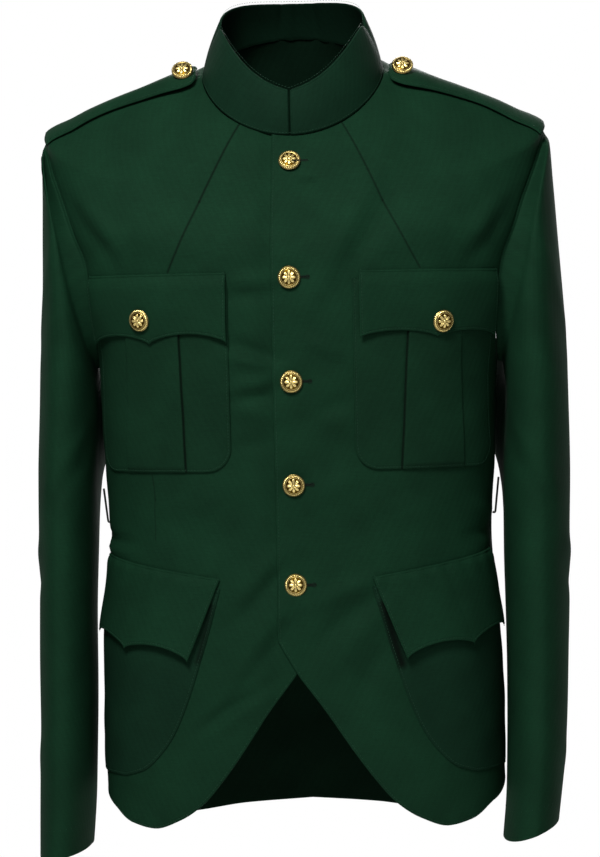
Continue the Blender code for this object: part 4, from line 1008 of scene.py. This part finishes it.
def chest_patch(word, side):
    straight = CHEST_PATCH_FOOT + CHEST_PATCH_CORNER
    levels = np.concatenate((np.linspace(CHEST_PATCH_TOP, straight, 38)[:-1],
                             straight - CHEST_PATCH_CORNER * np.sin(np.linspace(0.0, math.pi / 2.0, 18))))
    drop = np.maximum(0.0, straight - levels)
    inset = CHEST_PATCH_CORNER - np.sqrt(np.maximum(0.0, CHEST_PATCH_CORNER ** 2 - drop ** 2))
    part = (levels - CHEST_PATCH_TOP) / (CHEST_PATCH_FOOT - CHEST_PATCH_TOP)
    top_inner, top_outer, foot_inner, foot_outer = PLEATS[word]
    first = top_inner + (foot_inner - top_inner) * part
    last = top_outer + (foot_outer - top_outer) * part
    arounds = []
    for row in range(len(levels)):
        inner = CHEST_PATCH_INNER + inset[row]
        outer = CHEST_PATCH_OUTER - inset[row]
        before = inner + spaced(0.044, POCKET_STEP, True, False) * (first[row] + PLEAT_LINES[0] - inner)
        middle = np.linspace(first[row] + PLEAT_LINES[-1], last[row] + PLEAT_LINES[0], 13)
        after = last[row] + PLEAT_LINES[-1]
        after = after + spaced(0.044, POCKET_STEP, False, True) * (outer - after)
        arounds.append(np.concatenate((before[:-1], first[row] + PLEAT_LINES[:-1], middle[:-1],
                                       last[row] + PLEAT_LINES[:-1], after)))
    arounds = np.array(arounds)
    heights = np.repeat(levels[:, None], arounds.shape[1], axis=1)
    raised = (soft_step((arounds - first[:, None] + 0.0003) / 0.0006)
              * soft_step((last[:, None] - arounds + 0.0003) / 0.0006))
    groove = sum(bell(arounds - line[:, None] + off, 0.0009)
                 for line, off in ((first, 0.0010), (last, -0.0010)))
    fade = np.clip((1.0 - part) / 0.03, 0.25, 1.0)[:, None]
    gather = 0.0006 * np.sin(heights * 62.0 + arounds * 35.0) * np.sin(arounds * 51.0 + side)
    high, outward = laid(side, heights, arounds, 0.0)
    rise = PATCH_LIFT + PATCH_WALL + (PLEAT_RISE * raised - 0.0004 * groove) * fade
    rise = rise + np.maximum(gather, -0.0003) * np.clip(part * 8.0, 0.0, 1.0)[:, None] * fade
    low = high + outward * PATCH_LIFT
    high = high + outward * rise[..., None]
    made = cloth_wall("chest_patch_" + word, high, outward, PATCH_WALL, flat_places(arounds, heights),
                      PATCH_EDGES, inner=low)
    # Painted shade: the patch is painted a little darker than the fronts, and dark lines along the pleat's edges paint
    # the shadow of its folds
    made.data.materials[0] = gabardine("dark green gabardine in a box pleat, " + word, "0E2B1B", (
        ((top_inner - 0.0004, CHEST_PATCH_TOP), (foot_inner - 0.0006, CHEST_PATCH_FOOT), 0.0016, 0.80),
        ((top_outer + 0.0006, CHEST_PATCH_TOP), (foot_outer + 0.0008, CHEST_PATCH_FOOT), 0.0012, 0.25),
    ))
    dress(made, "chest_pocket_" + word)


def scallop(shares, rise=SCALLOP_RISE):
    """Rise of a three-pointed flap foot: nothing at both corners and at the middle point."""
    return rise * np.abs(np.sin(math.tau * shares)) ** 0.6


def flap_shares(width):
    half = spaced(width / 2.0, POCKET_STEP, True, False)
    point = 1.0 - np.array((0.0060, 0.0035, 0.0018, 0.0008, 0.0)) / (width / 2.0)
    half = np.concatenate((half[half < point[0] - 0.02], point))
    return np.concatenate((half * 0.5, 1.0 - half[-2::-1] * 0.5))


def chest_flap(word, side):
    inner, foot, rise = CHEST_FLAPS[word]
    width = CHEST_FLAP_OUTER - inner
    shares = flap_shares(width)
    parts = spaced(CHEST_FLAP_TOP - foot, POCKET_STEP)
    feet = foot + scallop(shares, rise)
    heights = CHEST_FLAP_TOP + (feet - CHEST_FLAP_TOP)[None, :] * parts[:, None]
    arounds = np.broadcast_to(inner + width * shares[None, :], heights.shape)
    down = CHEST_FLAP_TOP - heights
    lift = FLAP_SEAM_LIFT + (FLAP_LIFT - FLAP_SEAM_LIFT) * soft_step((down - 0.001) / 0.011)
    lift = lift + 0.0010 * soft_step((down - 0.030) / 0.030) * (0.5 + 0.5 * np.cos(shares * math.tau * 2.0))
    lift = lift + 0.0016 * soft_step(down / 0.020) * bell(shares, 0.10)
    low, outward = laid(side, heights, arounds, lift)
    high = low + outward * FLAP_WALL
    made = cloth_wall("chest_flap_cloth_" + word, high, outward, FLAP_WALL, flat_places(arounds, heights),
                      FLAP_EDGES, inner=low)
    dress(made, "chest_flap_" + word)


for word, side in SIDES:
    chest_patch(word, side)
    chest_flap(word, side)
    sewn("chest_pocket_stitches_" + word,
         [stitch_line("chest_patch_" + word), stitch_line("chest_flap_cloth_" + word)], GREEN_THREAD)


# Lower pockets: plain patches whose front edge follows the cutaway, each under a slanted three-pointed flap that
# stands off the cloth a little at its front corner.
LOWER_FLAP_TOP = ((0.070, -0.465), (0.205, -0.444))
LOWER_FLAP_FOOT = ((0.100, -0.541), (0.233, -0.520))
LOWER_FLAP_WIDTH = 0.135
LOWER_FLAP_HEIGHT = 0.078
LOWER_FLAP_BASE = 0.0026
LOWER_FLAP_LIFT = 0.0060
# Height, inner edge and outer edge of the patch, from its top down
LOWER_PATCH_ROWS = np.array((
    (-0.474, 0.0700, 0.212), (-0.510, 0.0800, 0.226), (-0.543, 0.0900, 0.237), (-0.578, 0.1020, 0.242),
    (-0.610, 0.1170, 0.243), (-0.631, 0.1340, 0.243), (-0.643, 0.1500, 0.242), (-0.649, 0.1720, 0.239),
))
LOWER_PATCH_TILT = 0.016
LOWER_PATCH_WALL = 0.0010
LOWER_PATCH_LIFT = 0.0004
# Painted shade: the pocket mouth is painted dark where the flap's front edge stands away from it
PAINTED_MOUTH_SHADE = {"left": (((0.0800, -0.490), (0.0960, -0.545), 0.0080, 0.85),),
               "right": (((0.0790, -0.490), (0.0920, -0.540), 0.0060, 0.60),)}


def lower_patch(word, side):
    parts = np.concatenate((np.linspace(0.0, 0.78, 40)[:-1], 1.0 - 0.22 * (1.0 - np.linspace(0.0, 1.0, 26)) ** 1.6))
    top, foot = LOWER_PATCH_ROWS[0, 0], LOWER_PATCH_ROWS[-1, 0]
    levels = top + (foot - top) * parts
    known = -LOWER_PATCH_ROWS[:, 0]
    inner = smooth_curve(known, LOWER_PATCH_ROWS[:, 1], -levels)[:, None]
    outer = smooth_curve(known, LOWER_PATCH_ROWS[:, 2], -levels)[:, None]
    arounds = inner + (outer - inner) * spaced(0.13, POCKET_STEP)[None, :]
    tilt = LOWER_PATCH_TILT * (arounds - LOWER_PATCH_ROWS[0, 1]) / 0.142 * (1.0 - parts[:, None])
    heights = levels[:, None] + tilt
    low, outward = laid(side, heights, arounds, LOWER_PATCH_LIFT)
    slack = 0.0010 * np.sin(heights * 45.0 + arounds * 30.0 + 2.0) * np.sin(arounds * 44.0 + 1.0)
    middle = np.minimum(1.0, np.minimum(arounds - inner, outer - arounds) / 0.012) * (1.0 - parts[:, None] ** 6)
    high = low + outward * (LOWER_PATCH_WALL + np.maximum(slack, -0.0002) * middle)[..., None]
    made = cloth_wall("lower_patch_" + word, high, outward, LOWER_PATCH_WALL, flat_places(arounds, heights),
                      PATCH_EDGES, inner=low)
    # The lower patches are painted darker than the fronts, as painted shade below their flaps
    made.data.materials[0] = gabardine("dark green gabardine, lower pocket " + word, "0D281A",
                                       PAINTED_MOUTH_SHADE[word])
    dress(made, "lower_pocket_" + word)


def lower_flap(word, side):
    shares = flap_shares(LOWER_FLAP_WIDTH)
    parts = spaced(LOWER_FLAP_HEIGHT, POCKET_STEP)
    top_start, top_end = np.array(LOWER_FLAP_TOP)
    foot_start, foot_end = np.array(LOWER_FLAP_FOOT)
    top = top_start + (top_end - top_start) * shares[:, None]
    foot = foot_start + (foot_end - foot_start) * shares[:, None]
    foot[:, 1] += scallop(shares)
    foot[:, 0] -= scallop(shares) * 0.35
    rows = top[None] + (foot - top)[None] * parts[:, None, None]
    lift = (FLAP_SEAM_LIFT + (LOWER_FLAP_BASE - FLAP_SEAM_LIFT) * soft_step(parts[:, None] / 0.12)
            + LOWER_FLAP_LIFT * parts[:, None] ** 1.5 * (1.0 - 0.7 * shares[None, :]))
    pucker = 0.0010 * np.sin(shares * 46.0) * np.exp(-parts[:, None] * 7.0) * soft_step(parts[:, None] * 20.0)
    low, outward = laid(side, rows[..., 1], rows[..., 0], lift + pucker)
    high = low + outward * FLAP_WALL
    made = cloth_wall("lower_flap_cloth_" + word, high, outward, FLAP_WALL, flat_places(rows[..., 0], rows[..., 1]),
                      FLAP_EDGES, inner=low)
    dress(made, "lower_flap_" + word)


for word, side in SIDES:
    lower_patch(word, side)
    lower_flap(word, side)
    sewn("lower_pocket_stitches_" + word,
         [stitch_line("lower_patch_" + word), stitch_line("lower_flap_cloth_" + word)], GREEN_THREAD)


# Shoulder straps: doubled cloth tapering to a rounded point, sewn in with the sleeve and buttoned by the collar.
STRAP_WALL = 0.0026
STRAP_LENGTH = 0.165
# Share of the way from the sleeve seam to the neck, and half the width there
STRAP_ROWS = np.array((
    (0.012, 0.0245), (0.15, 0.0240), (0.30, 0.0235), (0.45, 0.0228), (0.60, 0.0220),
    (0.74, 0.0214), (0.86, 0.0208), (0.925, 0.0185), (0.955, 0.0145), (0.970, 0.0090),
))
TIP_TRAVEL = travel_at_level(SHOULDER_TIP)


def shoulder_places(side, travel, depths, lift):
    """Places on a shoulder at depths before (-) or behind (+) its seam, standing a lift off the cloth."""
    points = np.zeros((len(depths), 3))
    outward = np.zeros((len(depths), 3))
    for facing, picked in (("front", depths <= 0.0), ("back", depths > 0.0)):
        length = float(ring_length(facing, travel))
        around = np.linspace(0.0, length, 400)
        ring = on_body(facing, side, np.full(400, travel), around)[0]
        place = np.interp(np.abs(depths[picked]), np.abs(ring[::-1, 1]), around[::-1])
        here, way = on_body(facing, side, np.full(len(place), travel), place)
        table = FRONT_FOLDS if facing == "front" else BACK_FOLDS
        near_seam = np.clip((length - place) / SEAM_FADE, 0.0, 1.0)
        rise = folds(table, place * side, here[:, 2]) * near_seam
        points[picked] = here + way * (rise + lift)[:, None]
        outward[picked] = way
    return points, outward


def shoulder_strap(word, side):
    shares = np.concatenate((np.linspace(0.012, 0.86, 44)[:-1],
                             0.970 - 0.11 * (1.0 - np.linspace(0.0, 1.0, 26)) ** 1.7))
    half = smooth_curve(STRAP_ROWS[:, 0], STRAP_ROWS[:, 1], shares)
    across = spaced(0.048, 0.0038) * 2.0 - 1.0
    low, ways = [], []
    for share, width in zip(shares, half):
        travel = TIP_TRAVEL + (NECK_TRAVEL - TIP_TRAVEL) * share
        back_shift = 0.007 * math.sin(math.pi * min(1.0, share / 0.86)) ** 1.5
        lift = 0.0010 + 0.0010 * soft_step(share / 0.3) + 0.0022 * soft_step((share - 0.60) / 0.30)
        points, outward = shoulder_places(side, travel, across * width + back_shift, lift)
        low.append(points)
        ways.append(outward)
    low = np.array(low)
    ways = unit(np.array(ways) + np.array((0.0, 0.0, 0.5)))
    bulge = 0.0008 * np.sin(math.pi * np.clip(shares / 0.9, 0.0, 1.0))[:, None] * (1.0 - across[None, :] ** 2)
    high = low + ways * (STRAP_WALL + bulge)[..., None]
    spread = flat_places(np.broadcast_to(shares[:, None] * STRAP_LENGTH, bulge.shape),
                         across[None, :] * half[:, None])
    made = cloth_wall("strap_" + word, high, ways, STRAP_WALL, spread,
                      PATCH_EDGES, inner=low)
    dress(made, "shoulder_strap_" + word)


for word, side in SIDES:
    shoulder_strap(word, side)
sewn("strap_stitches", [stitch_line("strap_" + word) for word, side in SIDES], GREEN_THREAD)


# Buttons: gilt brass, die-struck with a roped rim and a leaf rosette, on a shank that is sewn through the cloth.
# The struck ground is coloured darker than the raised parts.
BUTTON_RADIUS = 0.0095
# Radius and height of each ring under the rim, from the shank out
BUTTON_UNDER = ((0.0004, 0.0000), (0.0030, 0.0000), (0.0030, 0.0012), (0.0086, 0.0014), (0.0093, 0.0017),
                (0.0095, 0.0021), (0.0095, 0.0025))
BUTTON_SIZE = 1.07
BUTTON_AROUND = 144
ROPE_TURNS = 34
LEAVES = 8
FRONT_BUTTON_HEIGHTS = (-0.082, -0.189, -0.284, -0.379, -0.471)
CHEST_BUTTON_AROUND = 0.139
CHEST_BUTTON_HEIGHTS = {"left": -0.2305, "right": -0.2250}
STRAP_BUTTON_SHARE = 0.875
STRAP_BUTTON_TIP = math.radians(34.0)
STRAP_BUTTON_SHANK = 0.0038


def struck_face(radius, turn):
    """Height of the button's front and how proud of its ground each place stands."""
    dome = 0.0051 - 0.0022 * (radius / BUTTON_RADIUS) ** 2
    rope = np.maximum(0.0, 1.0 - ((radius - 0.0085) / 0.0009) ** 2)
    rope = rope * (0.55 + 0.45 * np.cos(ROPE_TURNS * turn + (radius - 0.0085) * 2600.0))
    ring = np.maximum(0.0, 1.0 - ((radius - 0.0070) / 0.0003) ** 2) * 0.5
    petal = np.abs(np.cos(LEAVES / 2.0 * turn)) ** 0.8
    leaf = np.clip((0.0062 * (0.45 + 0.55 * petal) - radius) / 0.0007, 0.0, 1.0)
    leaf = leaf * np.clip((radius - 0.0013) / 0.0006, 0.0, 1.0)
    vein = 0.45 * bell(np.abs(np.cos(LEAVES / 2.0 * turn)) - 1.0, 0.02) * leaf
    boss = np.clip((0.0013 - radius) / 0.0004, 0.0, 1.0)
    proud = np.clip(rope + ring + leaf * 0.8 * petal - vein + boss, 0.0, 1.0)
    return dome + 0.00062 * proud - 0.00045 * np.clip((radius - 0.0076) / 0.0015, 0.0, 1.0), proud


def gilt_button(node, seat, normal, shank=0.0):
    across = unit(np.cross((0.0, 0.0, 1.0), normal))
    up = np.cross(normal, across)
    turns = np.linspace(0.0, math.tau, BUTTON_AROUND, endpoint=False)
    radii = np.linspace(0.0094, 0.0002, 46)
    under = np.array(BUTTON_UNDER)
    under[:2, 1] -= shank
    top_height, proud = struck_face(radii[:, None], turns[None, :])
    top_height[0] = np.minimum(top_height[0], 0.0030)
    reach = np.repeat(np.concatenate((under[:, 0], radii))[:, None], BUTTON_AROUND, axis=1)
    height = np.concatenate((np.repeat(under[:, 1:], BUTTON_AROUND, axis=1), top_height))
    relief = np.concatenate((np.full((len(under), BUTTON_AROUND), 0.5), proud))
    spokes = across * np.cos(turns)[:, None] + up * np.sin(turns)[:, None]
    dots = seat + normal * (height * BUTTON_SIZE)[..., None] + spokes[None] * (reach * BUTTON_SIZE)[..., None]
    rows = len(dots)
    grid = np.arange(rows * BUTTON_AROUND).reshape(rows, BUTTON_AROUND)
    beside = np.roll(grid, -1, axis=1)
    quads = np.stack((grid[:-1], beside[:-1], beside[1:], grid[1:]), axis=-1).reshape(-1, 4).tolist()
    quads.append(grid[0, ::-1].tolist())
    quads.append(grid[-1].tolist())
    mesh = bpy.data.meshes.new("gilt_" + node)
    mesh.from_pydata(dots.reshape(-1, 3).tolist(), [], quads)
    mesh.attributes.new("relief", "FLOAT", "POINT").data.foreach_set("value", relief.astype(np.float32).ravel())
    mesh.polygons.foreach_set("use_smooth", np.ones(len(quads), dtype=bool))
    mesh.materials.append(GILT)
    mesh.update()
    made = placed("gilt_" + node, mesh)
    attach(made, "root")
    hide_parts(node)


GILT, tree, shader = shader_of("gilt brass, die-struck and burnished", 0.5)
shader.inputs["Metallic"].default_value = 1.0
relief = add_node(tree, "ShaderNodeAttribute", {"attribute_name": "relief"})
place = add_node(tree, "ShaderNodeTexCoord")
# Handling marks are 0.1 to 1 mm across
marks = add_node(tree, "ShaderNodeTexNoise", Vector=(place, "Object"), Scale=1400.0, Detail=3.0)
gold = add_node(tree, "ShaderNodeValToRGB", None, Fac=(relief, "Fac"))
gold.color_ramp.elements[0].color = linear("4A3608")
gold.color_ramp.elements[1].color = linear("FFE696")
gold.color_ramp.elements[0].position = 0.10
gold.color_ramp.elements[1].position = 0.65
tree.links.new(gold.outputs[0], shader.inputs["Base Color"])
polish = add_node(tree, "ShaderNodeMapRange", None, Value=(marks, "Fac"), From_Min=0.3, From_Max=0.7,
                  To_Min=0.20, To_Max=0.36)
tree.links.new(polish.outputs[0], shader.inputs["Roughness"])
dents = add_node(tree, "ShaderNodeBump", None, Height=(marks, "Fac"), Strength=0.15, Distance=0.00005)
tree.links.new(dents.outputs[0], shader.inputs["Normal"])

for number, height in enumerate(FRONT_BUTTON_HEIGHTS, start=1):
    # Halving finds how far up the left front's centre line the button's height is
    low, high = travel_at_level(height - 0.02), NECK_TRAVEL
    for attempt in range(40):
        middle = (low + high) / 2.0
        found = on_body("front", 1.0, np.array(middle), np.array(0.0))[0][2]
        low, high = (middle, high) if found < height else (low, middle)
    spot, way = on_body("front", 1.0, np.array(middle), np.array(0.0))
    way = unit(way * np.array((0.0, 1.0, 1.0)))
    gilt_button("button_front_%d" % number, spot + way * 0.0003, way)

for word, side in SIDES:
    travel = travel_at_level(CHEST_BUTTON_HEIGHTS[word])
    spot, way = on_body("front", side, np.array(travel), np.array(CHEST_BUTTON_AROUND))
    gilt_button("button_chest_" + word, spot + way * 0.0061, way)
    travel = TIP_TRAVEL + (NECK_TRAVEL - TIP_TRAVEL) * STRAP_BUTTON_SHARE
    # On its shank the strap button tips forward over the strap
    spot, way = [part[0] for part in shoulder_places(side, travel, np.array((-0.002,)), 0.0068)]
    tipped = unit(np.array((0.05 * side, -math.cos(STRAP_BUTTON_TIP), math.sin(STRAP_BUTTON_TIP))))
    gilt_button("button_strap_" + word, spot + np.array((-0.0030 * side, -0.0035, 0.0022)), tipped,
                STRAP_BUTTON_SHANK)


# Buttonholes: keyhole ends show beside the front buttons, cut through and worked round with close stitches.
HOLE_START = 0.003
HOLE_END = 0.0168
HOLE_HALF = 0.0008
EYE = 0.0017
BUTTONHOLE_TWIST = sewing_thread("green buttonhole twist, thick", "0A1B12")
# The cut is a row of near-black beads: painted shadow in the slit
PAINTED_SLIT_SHADOW = sewing_thread("near-black painted shadow in the cut", "020503")
eye_turn = np.linspace(-2.6, 2.6, 24)
outline = np.concatenate((
    np.stack((np.linspace(HOLE_START, HOLE_END - EYE, 24), np.full(24, -HOLE_HALF)), axis=1),
    np.stack((HOLE_END + EYE * np.cos(eye_turn), EYE * np.sin(eye_turn)), axis=1),
    np.stack((np.linspace(HOLE_END - EYE, HOLE_START, 24), np.full(24, HOLE_HALF)), axis=1),
))
slit = np.stack((np.linspace(HOLE_START, HOLE_END + 0.0006, 30), np.zeros(30)), axis=1)
worked, slit_shadows = [], []
for height in FRONT_BUTTON_HEIGHTS:
    for line, kept, lift in ((outline, worked, 0.0002), (slit, slit_shadows, 0.0001)):
        places, outward = front_points(1.0, travel_at_level(np.full(len(line), height) + line[:, 1]), line[:, 0], lift)
        kept.append((places + np.array((0.0, 0.0, 1.0)) * (height - places[0, 2] + line[0, 1]), outward))
sewn("buttonhole_edges", worked, BUTTONHOLE_TWIST, pitch=0.0006, length=0.0014, width=0.00060, rise=0.00050,
     turn=math.pi / 2.0)
sewn("buttonhole_slit_shadows", slit_shadows, PAINTED_SLIT_SHADOW, pitch=0.0008, length=0.0014, width=0.0011, rise=0.00040)


# Belt hooks: bent brass wire, black lacquered, coming out of each side seam, bent up and ending free.
LACQUER, tree, shader = shader_of("black lacquer on brass wire, dipped", 0.35)
shader.inputs["Coat Weight"].default_value = 0.3
place = add_node(tree, "ShaderNodeTexCoord")
# Lacquer pools in runs about 2 mm long
runs = add_node(tree, "ShaderNodeTexNoise", Vector=(place, "Object"), Scale=500.0, Detail=2.0)
shade = add_node(tree, "ShaderNodeMapRange", None, Value=(runs, "Fac"), From_Min=0.3, From_Max=0.7,
                 To_Min=0.6, To_Max=1.4)
black = add_node(tree, "ShaderNodeVectorMath", {"operation": "SCALE"}, n0=linear("10110D")[:3], Scale=(shade, 0))
tree.links.new(black.outputs[0], shader.inputs["Base Color"])
# Height of the free end, how far it stands off, and height of the bend
HOOKS = {"left": (-0.380, 0.0070, -0.4130), "right": (-0.385, 0.0070, -0.4165)}
# How far each point of the bend stands off and rises
HOOK_BEND = ((0.0000, 0.0002), (0.0007, -0.0004), (0.0014, -0.0006), (0.0021, -0.0002), (0.0026, 0.0008))
HOOK_RADIUS = 0.0010
for word, side in SIDES:
    top, top_stands, foot = HOOKS[word]
    skin = float(on_body("front", 1.0, travel_at_level(foot), ring_length("front", travel_at_level(foot)))[0][0])
    bend = [(side * (skin + 0.0009 + stands), 0.0, foot + rise) for stands, rise in HOOK_BEND]
    bend.append((side * (skin + top_stands), 0.0, top))
    wire = bpy.data.curves.new("belt_wire_" + word, "CURVE")
    wire.dimensions = "3D"
    wire.bevel_depth = HOOK_RADIUS
    wire.bevel_resolution = 4
    wire.use_fill_caps = True
    run = wire.splines.new("POLY")
    run.points.add(len(bend) - 1)
    for point, place in zip(run.points, bend):
        point.co = (*place, 1.0)
    mesh = plain_mesh(placed("belt_wire_" + word, wire), "belt_wire_" + word)
    mesh.materials.clear()
    mesh.materials.append(LACQUER)
    mesh.polygons.foreach_set("use_smooth", np.ones(len(mesh.polygons), dtype=bool))
    hook = placed("belt_wire_" + word, mesh)
    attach(hook, "root")
    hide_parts("belt_hook_" + word)

bpy.context.view_layer.update()
